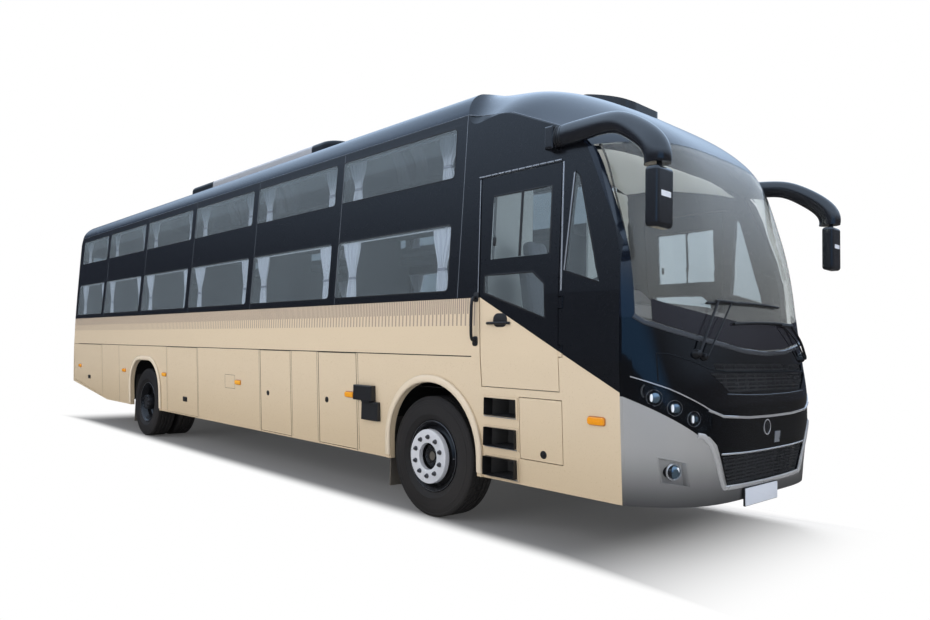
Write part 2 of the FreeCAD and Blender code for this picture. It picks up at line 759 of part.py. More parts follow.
def build_steps():
    pieces = []
    back = -half_width + wall + step_depth
    skin = -side_y(step_pockets[0][0]) + wall + seat_gap
    body = block(step_span[0] - 30, step_span[1] + 30, skin, back + 20, step_pockets[0][0] - 20,
                 cab_floor_z - floor_thickness)
    body = body.cut(section_prism_outside())
    for low, high in step_pockets:
        body = body.cut(block(step_span[0], step_span[1], -half_width - 50, back, low, high))
    pieces.append(body)
    rise = (cab_floor_z - passenger_door_z) / tread_count
    outer_y = half_skirt - wall - panel_gap
    going = (outer_y - well_inner_y) / tread_count
    foot_z = passenger_door_z - tread_thickness
    xs = (door_rear_foot_x, door_front_foot_x - 10)
    stair = [block(xs[0], xs[1], well_inner_y - tread_thickness, well_inner_y, foot_z, cab_floor_z - floor_thickness)]
    for step in range(tread_count):
        tread_z = passenger_door_z + rise * step
        stair.append(block(xs[0], xs[1], well_inner_y, outer_y - going * step, foot_z, tread_z))
    pieces.append(fused(stair))
    save("entry_steps", Part.makeCompound(pieces))


def section_prism_outside():
    big = block(body_ends[0], body_ends[1], -half_width - 200, 0.0, inner_foot_z, gutter_z)
    return big.cut(section_prism(wall + seat_gap, inner_foot_z, *body_ends))


def build_hold():
    # floor, back and cross walls of plain sheet on each side of the rails
    top = floor_z - floor_thickness - bearer_height - seat_gap
    outer = half_skirt - wall - panel_gap
    inner = rail_outer_y + 15
    foot = hold_z + seat_gap
    spans = flap_spans[1:]
    sheets = [block(hold_rear_x, hold_front_x, inner, outer, hold_z - hold_wall, hold_z),
              block(hold_rear_x, hold_front_x, inner, inner + hold_wall, foot, top)]
    xs = [rear for rear, front in spans] + [front for rear, front in spans[:-1]] + [hold_front_x - hold_wall]
    for x in xs:
        sheets.append(block(x, x + hold_wall, inner + hold_wall + seat_gap, outer, foot, top))
    save("luggage_hold", Part.makeCompound(sheets + [mirrored(sheet) for sheet in sheets]))


# Frame under the floor
def channel(x0, x1, side):
    web = block(x0, x1, rail_outer_y - rail_web, rail_outer_y, rail_top_z - rail_height, rail_top_z)
    top = block(x0, x1, rail_outer_y - rail_flange, rail_outer_y, rail_top_z - rail_web, rail_top_z)
    low = block(x0, x1, rail_outer_y - rail_flange, rail_outer_y, rail_top_z - rail_height,
                rail_top_z - rail_height + rail_web)
    rail = fused([web, top, low])
    return rail if side > 0 else mirrored(rail)


cross_member_front_x = 300.0
cross_member_xs = (900.0, -900.0, -2400.0, rear_axle_x + 2850.0, rear_axle_x + 1350.0, rear_axle_x - 1050.0)
cross_depth = 120.0
cross_width = 60.0
bearer_height = 60.0
jaw_radius = 20.0
jaw_half = 50.0
jaw_plate = 20.0
jaw_z = 590.0
jaw_drop = 55.0


def towing_jaw(end_x, sense):
    # two plates below an end cross-member, with a cross bore for a pin
    ys = (jaw_half - jaw_plate, jaw_half)
    xs = sorted((end_x - sense * cross_width, end_x + sense * 2 * jaw_drop))
    plates = [block(xs[0], xs[1], ys[0], ys[1], jaw_z - jaw_drop, rail_top_z - rail_height / 2),
              block(xs[0], xs[1], -ys[1], -ys[0], jaw_z - jaw_drop, rail_top_z - rail_height / 2)]
    bore_x = end_x + sense * jaw_drop
    bore = rod((bore_x, -2 * jaw_half, jaw_z), (bore_x, 2 * jaw_half, jaw_z), jaw_radius)
    return [plate.cut(bore) for plate in plates]


def build_frame():
    pieces = [channel(rail_rear_x, rail_front_x, 1), channel(rail_rear_x, rail_front_x, -1)]
    inner = rail_outer_y - rail_web - seat_gap
    mid_z = rail_top_z - rail_height / 2
    for x in [rail_front_x - cross_width] + list(cross_member_xs) + [rail_rear_x]:
        member = block(x, x + cross_width, -inner, inner, mid_z - cross_depth / 2, mid_z + cross_depth / 2)
        if x == rail_rear_x:
            member = fused([member] + towing_jaw(rail_rear_x, -1))
        if x == rail_front_x - cross_width:
            member = fused([member] + towing_jaw(rail_front_x, 1))
        pieces.append(member)
    top = floor_z - floor_thickness
    bearers = [cross_member_front_x] + [pillar_x - bay * bay_pitch for bay in range(1, bay_count)] + [rail_rear_x]
    reach = half_width - wall - 10 - panel_gap
    for x in bearers:
        pieces.append(block(x, x + cross_width, -reach, reach, top - bearer_height, top))
        pieces += frame_posts(x, top - bearer_height)
    for x in (rail_front_x - cross_width, cross_member_xs[0]):
        pieces += frame_posts(x, cab_floor_z - floor_thickness)
    save("chassis_frame", Part.makeCompound(pieces))


def frame_posts(x, top):
    # a short post on each rail, below a bearer or the cab floor
    posts = []
    for side in (-1, 1):
        y = side * (rail_outer_y - cross_width / 2)
        posts.append(block(x, x + cross_width, y - cross_width / 2, y + cross_width / 2, rail_top_z + seat_gap,
                           top - seat_gap))
    return posts


# Springs and axles
spring_half = 700.0
spring_width = 80.0
spring_thickness = 50.0
spring_y = rail_outer_y - rail_flange / 2
front_seat_z = 470.0
rear_seat_z = 600.0
hanger_length = 70.0
hanger_width = 60.0


def leaf_spring(axle_x, seat_z, side):
    end_z = rail_top_z - rail_height - hanger_length
    y0 = side * spring_y - spring_width / 2
    curve = (Vector(axle_x - spring_half, y0, end_z), Vector(axle_x, y0, seat_z),
             Vector(axle_x + spring_half, y0, end_z))
    lift = Vector(0, 0, spring_thickness)
    low = Part.Arc(*curve).toShape()
    high = Part.Arc(*[point + lift for point in curve]).toShape()
    rear, front = [Part.LineSegment(point, point + lift).toShape() for point in (curve[0], curve[2])]
    leaf = Part.Face(Part.Wire([low, front, high, rear])).extrude(Vector(0, spring_width, 0))
    hangers = []
    for x in (axle_x - spring_half, axle_x + spring_half - hanger_width):
        hangers.append(block(x, x + hanger_width, y0, y0 + spring_width, end_z + 5, rail_top_z - rail_height))
    return fused([leaf] + hangers)


def build_springs():
    springs = []
    for side in (-1, 1):
        springs.append(leaf_spring(0.0, front_seat_z + front_pad, side))
        springs.append(leaf_spring(rear_axle_x, rear_seat_z, side))
    save("leaf_springs", Part.makeCompound(springs))


beam_half_width = 45.0
beam_height = 100.0
spring_seat_half = 90.0
front_pad = 30.0


def build_front_axle():
    drop_z = front_seat_z - beam_height
    beam = block(-beam_half_width, beam_half_width, -kingpin_y + 150, kingpin_y - 150, drop_z, front_seat_z)
    pieces = [beam]
    for side in (-1, 1):
        y0 = side * spring_y - spring_width / 2
        pieces.append(block(-spring_seat_half, spring_seat_half, y0, y0 + spring_width, front_seat_z - 10,
                            front_seat_z + front_pad))
        ramp = front_prism(((side * (kingpin_y - 260), drop_z), (side * (kingpin_y - 260), front_seat_z),
                            (side * (kingpin_y - eye_radius + 10), tyre_radius + eye_half_height - 8),
                            (side * (kingpin_y - eye_radius + 10), tyre_radius - eye_half_height + 8)),
                           -beam_half_width, beam_half_width)
        eye = rod((0, side * kingpin_y, tyre_radius - eye_half_height),
                  (0, side * kingpin_y, tyre_radius + eye_half_height), eye_radius)
        pieces += [ramp, eye]
    axle = fused(pieces)
    for side in (-1, 1):
        axle = axle.cut(rod((0, side * kingpin_y, 0), (0, side * kingpin_y, 900), kingpin_radius + seat_gap))
    save("front_axle", axle)


spindle_end_y = tyre_outer_y - 30.0
spindle_root_y = kingpin_y + 95.0
lug_gap = 4.0
lug_half = 50.0
lug_foot_z = tyre_radius - eye_half_height - lug_gap - lug_height
arm_thickness = 30.0
arm_end_radius = 20.0
arm_pin = (9.0, 46.0)
tie_z = lug_foot_z - 25.0
tie_radius = 14.0
tie_eye = (24.0, 18.0)


def knuckle(side):
    # two lugs on the kingpin, the web between them, the spindle and the steering arm
    low = lug_foot_z + lug_height
    high = tyre_radius + eye_half_height + lug_gap
    y = side * kingpin_y
    pieces = [rod((0, y, low - 5), (0, y, high + 5), kingpin_radius)]
    web_y = sorted((side * (kingpin_y + eye_radius + 8), side * spindle_root_y))
    pieces.append(block(-lug_half, lug_half, web_y[0], web_y[1], lug_foot_z, high + lug_height))
    ys = sorted((y, side * spindle_root_y))
    for foot in (lug_foot_z, high):
        pieces.append(rod((0, y, foot), (0, y, foot + lug_height), eye_radius))
        pieces.append(block(-lug_half, lug_half, ys[0], ys[1], foot, foot + lug_height))
    root = (0, side * (spindle_root_y - 5), tyre_radius)
    pieces.append(rod(root, (0, side * spindle_end_y, tyre_radius), spindle_radius))
    pieces.append(block(-steering_arm, 0, y - 18, y + 18, lug_foot_z, lug_foot_z + arm_thickness))
    arm_end = (-steering_arm, y, lug_foot_z)
    pieces.append(rod(arm_end, (-steering_arm, y, lug_foot_z + arm_thickness), arm_end_radius))
    radius, drop = arm_pin
    pieces.append(rod((-steering_arm, y, lug_foot_z - drop), (-steering_arm, y, lug_foot_z + 5), radius))
    return fused(pieces)


def build_knuckles():
    save("knuckle_right", knuckle(-1))
    save("knuckle_left", knuckle(1))


def build_tie_rod():
    radius, half = tie_eye
    pieces = [rod((-steering_arm, -kingpin_y, tie_z), (-steering_arm, kingpin_y, tie_z), tie_radius)]
    bores = []
    for side in (-1, 1):
        y = side * kingpin_y
        pieces.append(rod((-steering_arm, y, tie_z - half), (-steering_arm, y, tie_z + half), radius))
        bores.append(rod((-steering_arm, y, 0), (-steering_arm, y, rail_top_z), arm_pin[0] + seat_gap))
    save("tie_rod", fused(pieces).cut(Part.makeCompound(bores)))


axle_tube_radius = 78.0
banjo_radius = 205.0
drive_snout = (380.0, 75.0)


def build_rear_axle():
    # tube, ball-shaped gear housing with its snout to the engine, spindles and spring seats
    x = rear_axle_x
    snout, snout_radius = drive_snout
    tube_end = rear_hub_y - panel_gap
    pieces = [rod((x, -tube_end, tyre_radius), (x, tube_end, tyre_radius), axle_tube_radius),
              rod((x, -spindle_end_y, tyre_radius), (x, spindle_end_y, tyre_radius), spindle_radius),
              Part.makeSphere(banjo_radius, Vector(x, 0, tyre_radius)),
              rod((x - snout, 0, tyre_radius), (x, 0, tyre_radius), snout_radius)]
    for side in (-1, 1):
        y0 = side * spring_y - spring_width / 2
        pieces.append(block(x - spring_seat_half, x + spring_seat_half, y0, y0 + spring_width, tyre_radius,
                            rear_seat_z))
    save("rear_axle", fused(pieces))


# Wheels: profiles of distance in from the tyre's outer face, and radius. The tyre's own
# radii are below its tread.
tyre_flats = 48
tyre_profile = ((4.0, -135.0), (16.0, -28.0), (44.0, 0.0))
nut_ring = (36.0, 118.0, 230.0)
rear_hub_y = tyre_outer_y - twin_spacing - tyre_width + 60.0


def revolved(points, wheel_x, side, outer_y):
    path = [Vector(wheel_x, side * (outer_y - inset), tyre_radius + radius) for inset, radius in points]
    face = Part.Face(Part.makePolygon(path + [path[0]]))
    return face.revolve(Vector(wheel_x, 0, tyre_radius), Vector(0, 1, 0), 360)


def tyre_ring(y, radius, count):
    # the corners of one ring of a tyre
    corners = []
    for number in range(count):
        angle = 2 * math.pi * number / count
        corners.append(Vector(radius * math.cos(angle), y, radius * math.sin(angle)))
    return corners


def tyre_solid(wheel_x, side, outer_y):
    # a ring of narrow flats, plain enough that all tyres together stay light
    bead = bead_inset + seat_gap
    outer = [(bead, bead_radius + seat_gap), (bead, rim_flange_radius + seat_gap)]
    outer += [(inset, radius + tyre_radius) for inset, radius in tyre_profile]
    profile = outer + [(tyre_width - inset, radius) for inset, radius in reversed(outer)]
    widen = 1 / math.cos(math.pi / tyre_flats)
    rings = []
    for inset, radius in profile:
        scale = widen if radius < rim_flange_radius + 1 else 1.0
        rings.append(tyre_ring(side * (outer_y - inset), radius * scale, tyre_flats))
    faces = []
    for ring, after in zip(rings, rings[1:] + rings[:1]):
        for number in range(tyre_flats):
            other = (number + 1) % tyre_flats
            corners = [ring[number], ring[other], after[other], after[number]]
            faces.append(Part.Face(Part.makePolygon(corners + [corners[0]])))
    tyre = Part.Solid(Part.Shell(faces))
    if tyre.Volume < 0:
        tyre.reverse()
    tyre.translate(Vector(wheel_x, 0, tyre_radius))
    return tyre


def rim_barrel():
    flange = rim_flange_radius
    outer = [(30.0, flange), (bead_inset, flange), (bead_inset, bead_radius), (88.0, bead_radius - 4),
             (112.0, well_radius)]
    far = [(tyre_width - inset, radius) for inset, radius in reversed(outer)]
    inner_near = [(30.0, flange - rim_wall), (bead_inset + 4, bead_radius - rim_wall),
                  (108.0, well_radius - rim_wall)]
    inner_far = [(tyre_width - inset, radius) for inset, radius in reversed(inner_near)]
    return outer + far + list(reversed(inner_near + inner_far))


def front_rim(side):
    # barrel, dished disc with its hub, and the proud ring that the nuts press on
    root = tyre_outer_y - spindle_root_y - 5
    disc = [(52.0, hub_radius - 10), (52.0, 235.0), (96.0, bead_radius - 10),
            (96.0 + disc_thickness, bead_radius - 10), (60.0 + disc_thickness, 232.0),
            (60.0 + disc_thickness, hub_radius), (root, hub_radius), (root, spindle_radius + seat_gap),
            (24.0, spindle_radius + seat_gap), (24.0, hub_radius - 24), (34.0, hub_radius - 10)]
    inset, inner, outer = nut_ring
    ring = [(inset, inner), (inset, outer), (54.0, outer), (54.0, inner)]
    return fused([revolved(profile, 0.0, side, tyre_outer_y) for profile in (rim_barrel(), disc, ring)])


def rear_rim(side):
    inner_face = tyre_outer_y - twin_spacing
    outer_disc = [(180.0, hub_radius), (180.0, 232.0), (140.0, bead_radius - 14),
                  (140.0 + disc_thickness, bead_radius - 14), (180.0 + disc_thickness, 236.0),
                  (180.0 + disc_thickness, hub_radius)]
    barrel = rim_barrel()
    hub = [(40.0, spindle_radius + seat_gap), (40.0, hub_radius), (60.0, hub_radius + 5),
           (tyre_outer_y - rear_hub_y, hub_radius + 5), (tyre_outer_y - rear_hub_y, spindle_radius + seat_gap)]
    inner_disc = [(twin_spacing + tyre_width - inset, radius) for inset, radius in outer_disc]
    x = rear_axle_x
    pieces = [revolved(barrel, x, side, tyre_outer_y), revolved(barrel, x, side, inner_face),
              revolved(outer_disc, x, side, tyre_outer_y), revolved(inner_disc, x, side, tyre_outer_y),
              revolved(hub, x, side, tyre_outer_y)]
    return fused(pieces)


def build_wheels():
    for name, side in (("right", -1), ("left", 1)):
        save("tyre_front_" + name, tyre_solid(0.0, side, tyre_outer_y))
        save("rim_front_" + name, front_rim(side))
        twins = [tyre_solid(rear_axle_x, side, tyre_outer_y - inset) for inset in (0.0, twin_spacing)]
        save("tyres_rear_" + name, Part.makeCompound(twins))
        save("rims_rear_" + name, rear_rim(side))


# Engine at the rear and its shaft to the axle
engine_rear_x = tail_x + 660.0
engine_front_x = engine_rear_x + 1190.0
engine_z = (430.0, 1230.0)
shaft_radius = 50.0


def build_drive():
    side = rail_outer_y - rail_flange - seat_gap
    save("engine", block(engine_rear_x, engine_front_x, -side, side, *engine_z))
    snout_x = rear_axle_x - drive_snout[0]
    save("drive_shaft", rod((engine_front_x + seat_gap, 0, tyre_radius), (snout_x - seat_gap, 0, tyre_radius),
                            shaft_radius))


# Lamps, mirrors, wipers and other fittings on the skin
lamp_band = ((1225.0, 1285.0), (1225.0, 1155.0), (905.0, 940.0), (800.0, 960.0), (800.0, 1060.0))
lamp_depth = 45.0
lamp_plate = 14.0
lens_places = ((1125.0, 1163.0), (1021.0, 1097.0), (902.0, 1026.0))
lens_radius = 54.0
lens_sink = 5.0
fog_outline = ((1127.0, 767.0), (977.0, 734.0), (944.0, 579.0), (1098.0, 608.0))
fog_place = (1029.0, 674.0)
fog_depth = 38.0
fog_radius = 46.0


def headlamp(side):
    # a plate sunk below the surface with three projector lenses in front of it
    plate = nose_layer(side, lamp_band, seat_gap, lamp_depth - lamp_plate, lamp_depth)
    room = nose_layer(side, lamp_band, seat_gap, lens_sink, lamp_depth)
    lenses = []
    for y, z in lens_places:
        x = nose_skin_x(side * y, z) - lens_radius - lens_sink
        lenses.append(Part.makeSphere(lens_radius, Vector(x, side * y, z)).common(room))
    return fused([plate] + lenses)


def fog_lamp(side):
    y, z = fog_place
    x = nose_skin_x(side * y, z)
    barrel = rod((x - 2 * fog_radius, side * y, z), (x - 3 * lens_sink, side * y, z), fog_radius)
    return barrel.cut(nose_keeper(fog_depth - seat_gap, 0.0))


def build_lamps():
    save("headlamps", Part.makeCompound([lamp(side) for lamp in (headlamp, fog_lamp) for side in (-1, 1)]))


side_lamp_xs = (tail_x + 638.0, rear_axle_x - 940.0, rear_axle_x + 810.0, -3635.0, -1201.0, 1791.0)
side_lamp_z = 985.0
side_lamp_size = (130.0, 50.0, 14.0)


def build_side_lamps():
    long, tall, thick = side_lamp_size
    lamps = []
    y = -side_y(side_lamp_z - tall / 2)
    for x in side_lamp_xs:
        lamp = block(x - long / 2, x + long / 2, y - thick, y + thick, side_lamp_z - tall / 2,
                     side_lamp_z + tall / 2)
        lamps.append(lamp.cut(outer_prism))
    save("side_lamps", Part.makeCompound(lamps + [mirrored(lamp) for lamp in lamps]))


# Each mirror hangs from an arm that sweeps forwards and down: x, distance from the centre
# line and height of the arm's middle, its run forwards and down, half height, half breadth
arm_stations = (
    (1385.0, 1283.0, 3050.0, 1.0, 0.0, 72.0, 40.0),
    (1500.0, 1292.0, 3052.0, 1.0, 0.05, 80.0, 46.0),
    (1716.0, 1315.0, 3048.0, 1.0, -0.05, 78.0, 52.0),
    (1990.0, 1362.0, 3018.0, 0.93, -0.37, 76.0, 62.0),
    (2229.0, 1412.0, 2880.0, 0.62, -0.78, 86.0, 72.0),
    (2338.0, 1437.0, 2760.0, 0.3, -0.95, 90.0, 80.0),
    (2352.0, 1437.0, 2655.0, 0.0, -1.0, 88.0, 78.0),
)
mirror_foot = (1320.0, 1400.0, 2965.0, 3135.0)
mirror_y = 1437.0
mirror_x = 2366.0
mirror_head = (100.0, 200.0, 385.0)
mirror_top_z = 2630.0
mirror_edge = 28.0
mirror_recess = (16.0, 6.0)
stem_radius = 18.0


def arm_section(x, y, z, run, fall, tall, broad):
    ring = Part.Ellipse(Vector(0, 0, 0), max(tall, broad), min(tall, broad)).toShape()
    along = Vector(run, 0, fall).normalize()
    upward = Vector(-along.z, 0, along.x)
    turn = FreeCAD.Rotation(upward, along.cross(upward), along, "ZXY")
    ring.Placement = FreeCAD.Placement(Vector(x, -y, z), turn)
    return Part.Wire(ring)


def mirror_casing():
    # a rounded box with the glass side, to the rear, hollowed a little
    deep, broad, tall = mirror_head
    casing = block(mirror_x - deep / 2, mirror_x + deep / 2, -mirror_y - broad / 2, -mirror_y + broad / 2,
                   mirror_top_z - tall, mirror_top_z)
    casing = casing.makeFillet(mirror_edge, casing.Edges)
    rim, depth = mirror_recess
    half = broad / 2 - mirror_edge - rim
    return casing.cut(block(mirror_x - deep, mirror_x - deep / 2 + depth, -mirror_y - half, -mirror_y + half,
                            mirror_top_z - tall + mirror_edge + rim, mirror_top_z - mirror_edge - rim))


def build_mirrors():
    x0, x1, z0, z1 = mirror_foot
    foot = block(x0, x1, -half_width - 30, -half_gutter, z0, z1)
    foot = foot.makeFillet(mirror_edge / 2, [edge for edge in foot.Edges if edge.BoundBox.YMax < -half_width])
    foot = foot.cut(section_prism(-seat_gap, inner_foot_z, *body_ends))
    arm = Part.makeLoft([arm_section(*station) for station in arm_stations], True, False)
    stem = rod((mirror_x, -mirror_y, mirror_top_z - panel_gap),
               (mirror_x, -mirror_y, arm_stations[-1][2] + panel_gap), stem_radius)
    mirror = fused([foot, arm, stem, mirror_casing()])
    save("mirrors", Part.makeCompound([mirror, mirrored(mirror)]))


ac_span = (-6880.0, -2540.0)
ac_half = 720.0
ac_top_z = 3985.0
ac_corner = 260.0
ac_edge = 60.0
fan_radius = 215.0
fan_depth = 25.0
fan_hub = 60.0
fan_count = 4


def build_roof_unit():
    # a rounded cover with a row of sunk fans on top
    unit = block(ac_span[0], ac_span[1], -ac_half, ac_half, gutter_z, ac_top_z)
    upright = [edge for edge in unit.Edges if edge.BoundBox.ZLength > ac_edge]
    unit = unit.makeFillet(ac_corner, upright)
    unit = unit.makeFillet(ac_edge, [edge for edge in unit.Edges if edge.BoundBox.ZMin > ac_top_z - 1])
    pitch = (ac_span[1] - ac_span[0]) / (fan_count + 1)
    for fan in range(1, fan_count + 1):
        x = ac_span[0] + fan * pitch
        well = rod((x, 0, ac_top_z - fan_depth), (x, 0, ac_top_z + 10), fan_radius)
        unit = unit.cut(well.cut(rod((x, 0, ac_top_z - fan_depth - 1), (x, 0, ac_top_z - fan_depth / 2), fan_hub)))
    raised = outer_prism.copy()
    raised.translate(Vector(0, 0, seat_gap))
    save("roof_unit", unit.cut(raised))


pod_span = (800.0, 1350.0)
pod_half = 260.0
pod_height = 85.0
pod_corner = 110.0


def build_roof_pod():
    # a low dark cover on the roof above the windscreen
    pod = block(pod_span[0], pod_span[1], -pod_half, pod_half, gutter_z - 200, gutter_z + 600)
    pod = pod.makeFillet(pod_corner, [edge for edge in pod.Edges if edge.BoundBox.ZLength > pod_height])
    save("roof_pod", pod.common(nose_keeper(0.0, -pod_height)).cut(nose_keeper(0.0, -seat_gap)))


# The two-part box on the right wall ahead of the last luggage flap: x, z and how proud
side_box_parts = (((-1070.0, -770.0), (946.0, 1092.0), 62.0), ((-960.0, -700.0), (762.0, 940.0), 48.0))
side_box_edge = 14.0


def build_side_box():
    parts = []
    for (x0, x1), (z0, z1), proud in side_box_parts:
        y = -side_y(z0) - proud
        part = block(x0, x1, y, -half_gutter + wall, z0, z1)
        part = part.makeFillet(side_box_edge, [edge for edge in part.Edges if edge.BoundBox.YMax < y + 1])
        parts.append(part.cut(section_prism(-seat_gap, inner_foot_z, *body_ends)))
    strap = block(-930.0, -800.0, -half_width - 30, -half_gutter, 935.0, 950.0)
    parts.append(strap.cut(section_prism(-seat_gap, inner_foot_z, *body_ends)))
    save("side_box", fused(parts))


def nose_skin_x(y, z):
    probe = Part.makeLine(Vector(0, y, z), Vector(nose_x + 300, y, z)).common(outer_body)
    return probe.BoundBox.XMax


# Each wiper's pivot and the middle of its blade, in front view
wiper_lines = (((-803.0, 1455.0), (-300.0, 1905.0)), ((803.0, 1455.0), (250.0, 1760.0)))
wiper_blade = 760.0


def build_wipers():
    proud = nose_keeper(-seat_gap, 0.0)
    wipers = []
    for (foot_y, foot_z), (tip_y, tip_z) in wiper_lines:
        foot_x = nose_skin_x(foot_y, foot_z)
        tip_x = nose_skin_x(tip_y, tip_z) + 25
        ends = [Vector(nose_skin_x(tip_y + sign * wiper_blade / 2, tip_z) + 18, tip_y + sign * wiper_blade / 2, tip_z)
                for sign in (-1, 1)]
        wiper = fused([rod((foot_x - 25, foot_y, foot_z), (foot_x + 45, foot_y, foot_z), 25.0),
                       rod((foot_x + 38, foot_y, foot_z), (tip_x, tip_y, tip_z), 9.0),
                       rod(ends[0], (tip_x, tip_y, tip_z), 8.0), rod((tip_x, tip_y, tip_z), ends[1], 8.0)])
        wipers.append(largest(wiper.cut(proud)))
    save("wipers", Part.makeCompound(wipers))


flap_rubber = (300.0, 12.0, 165.0)
flap_setback = 645.0


def build_mud_flaps():
    # a rubber sheet hung from the floor behind each wheel
    wide, thick, foot_z = flap_rubber
    outer = half_skirt - wall - 20
    flaps = []
    for axle_x in (0.0, rear_axle_x):
        x = axle_x - flap_setback
        for side in (-1, 1):
            ys = sorted((side * outer, side * (outer - wide)))
            flaps.append(block(x, x + thick, ys[0], ys[1], foot_z, floor_z - floor_thickness))
    save("mud_flaps", Part.makeCompound(flaps))


lamp_pod_rise = 16.0
lamp_pod_y = (985.0, 1115.0)
lamp_pod_z = (900.0, 1500.0)
lamp_pod_joints = (1090.0, 1290.0)


def build_rear_lamps():
    # a tall pod on each corner, with a ridge between its lamps
    raised = tail_keeper(-lamp_pod_rise)
    lamps = []
    for side in (-1, 1):
        ys = sorted((side * lamp_pod_y[0], side * lamp_pod_y[1]))
        pod = block(tail_x - 100, tail_x + 500, ys[0], ys[1], *lamp_pod_z)
        pod = pod.common(raised).cut(tail_keeper(-seat_gap))
        for z in lamp_pod_joints:
            pod = pod.cut(block(tail_x - 100, tail_x + 500, ys[0], ys[1], z, z + 2 * panel_gap)
                          .cut(tail_keeper(-lamp_pod_rise / 2)))
        lamps.append(pod)
    save("rear_lamps", Part.makeCompound(lamps))


# The steering wheel and its column, along the column's lean
wheel_centre = Vector(1330.0, -670.0, cab_floor_z + 760)
column_lean = Vector(-0.55, 0, 0.835)
steering_radius = 225.0
steering_grip = 15.0


def steering_wheel():
    grip = []
    for corner in range(6):
        angle = math.radians(60 * corner)
        grip.append(Vector(0, steering_radius + steering_grip * math.cos(angle), steering_grip * math.sin(angle)))
    ring = Part.Face(Part.makePolygon(grip + [grip[0]])).revolve(Vector(0, 0, 0), Vector(0, 0, 1), 360)
    hub = Part.makeCylinder(35.0, 40.0, Vector(0, 0, -20))
    spokes = [Part.makeCylinder(10.0, steering_radius, Vector(0, 0, 0), Vector(0, side, 0)) for side in (-1, 1)]
    wheel = fused([ring, hub] + spokes)
    wheel.Placement = FreeCAD.Placement(wheel_centre, FreeCAD.Rotation(Vector(0, 0, 1), column_lean))
    return wheel


def steering_column():
    lean = Vector(column_lean).normalize()
    top = wheel_centre - lean * (20 + seat_gap)
    return rod(top, top - lean * 420, 28.0)


# Inside: seats, dashboard with steering wheel, berths
def build_inside():
    build_seat()
    build_dashboard()
    save("steering_wheel", steering_wheel())
    build_berths()
    build_curtains()


seat_x = (748.0, 1215.0)
seat_y = (-910.0, -430.0)
seat_top = 430.0
seat_cushion = 130.0
seat_back = (110.0, 640.0)
seat_lean = 10.0
seat_edge = 40.0
head_rest = (90.0, 280.0, 190.0)


def build_seat():
    # pedestal, cushion, leaning back and head rest
    x0, x1 = seat_x
    y0, y1 = seat_y
    top = cab_floor_z + seat_top
    middle = (y0 + y1) / 2
    pedestal = block(x0 + 90, x1 - 90, y0 + 90, y1 - 90, cab_floor_z + seat_gap, top - seat_cushion + 10)
    cushion = block(x0, x1, y0, y1, top - seat_cushion, top)
    cushion = cushion.makeFillet(seat_edge, cushion.Edges)
    thick, tall = seat_back
    back = block(x0, x0 + thick, y0 + 15, y1 - 15, top - 60, top + tall)
    back = back.makeFillet(seat_edge, back.Edges)
    deep, wide, high = head_rest
    rest = block(x0 + 10, x0 + 10 + deep, middle - wide / 2, middle + wide / 2, top + tall - seat_edge,
                 top + tall + high)
    rest = rest.makeFillet(seat_edge, rest.Edges)
    for shape in (back, rest):
        shape.rotate(Vector(x0 + thick / 2, 0, top), Vector(0, 1, 0), -seat_lean)
    save("driver_seat", fused([pedestal, cushion, back, rest]))


dash_profile = ((1520.0, 0.0), (1520.0, 560.0), (1486.0, 610.0), (1494.0, 650.0), (1640.0, 700.0), (1790.0, 640.0),
                (cab_front_x, 540.0), (cab_front_x, 0.0))
dash_y = (-1150.0, 560.0)
hood_profile = ((1490.0, 640.0), (1520.0, 770.0), (1600.0, 775.0), (1720.0, 670.0))
hood_y = (-900.0, -440.0)


def build_dashboard():
    # the main moulding, the instrument hood before the wheel and the column
    raised = [[(x, cab_floor_z + seat_gap + z) for x, z in profile] for profile in (dash_profile, hood_profile)]
    save("dashboard", fused([side_prism(raised[0], *dash_y), side_prism(raised[1], *hood_y), steering_column()]))


berth_inner_y = 480.0
berth_outer_y = 1150.0
bench_top_z = 1780.0
shelf_z = (2640.0, 2700.0)
divider = 40.0
berth_span = (tail_x + 400.0, 100.0)


def build_berths():
    # on each side a closed bench below, a shelf above and a divider behind each pillar
    rear, front = berth_span
    walls = [rear, front - divider] + [pillar_x - bay * bay_pitch for bay in range(1, bay_count)]
    pieces = [block(rear, front, berth_inner_y, berth_outer_y, floor_z + seat_gap, bench_top_z),
              block(rear, front, berth_inner_y, berth_outer_y, *shelf_z)]
    pieces += [block(x, x + divider, berth_inner_y, berth_outer_y, bench_top_z - 5, shelf_z[1] - 5) for x in walls]
    side = fused(pieces)
    save("berths", Part.makeCompound([side, mirrored(side)]))


curtain_rear_x = tail_x + 500.0
curtain_rail = 30.0
curtain_thickness = 10.0


def curtain_row(top_z, foot_z):
    # a rail on the wall above a row of windows, with two curtains at each
    inner_y = side_y(top_z + curtain_rail) - wall - seat_gap
    spans = [(max(rear, curtain_rear_x), front) for rear, front in bay_spans()]
    pieces = [block(spans[-1][0], spans[0][1], inner_y - curtain_rail, inner_y, top_z, top_z + curtain_rail)]
    for rear, front in spans:
        middle = (rear + front) / 2
        for x0, x1 in ((rear + 20, middle - 10), (middle + 10, front - 20)):
            pieces.append(block(x0, x1, inner_y - curtain_rail, inner_y - curtain_rail + curtain_thickness, foot_z,
                                top_z + 5))
    return fused(pieces)


def build_curtains():
    rows = [curtain_row(low_pane_z[1] + 15, low_pane_z[0] - 20),
            curtain_row(high_pane_z[1] + 15, high_pane_z[0] - 35)]
    save("curtains", Part.makeCompound(rows + [mirrored(row) for row in rows]))


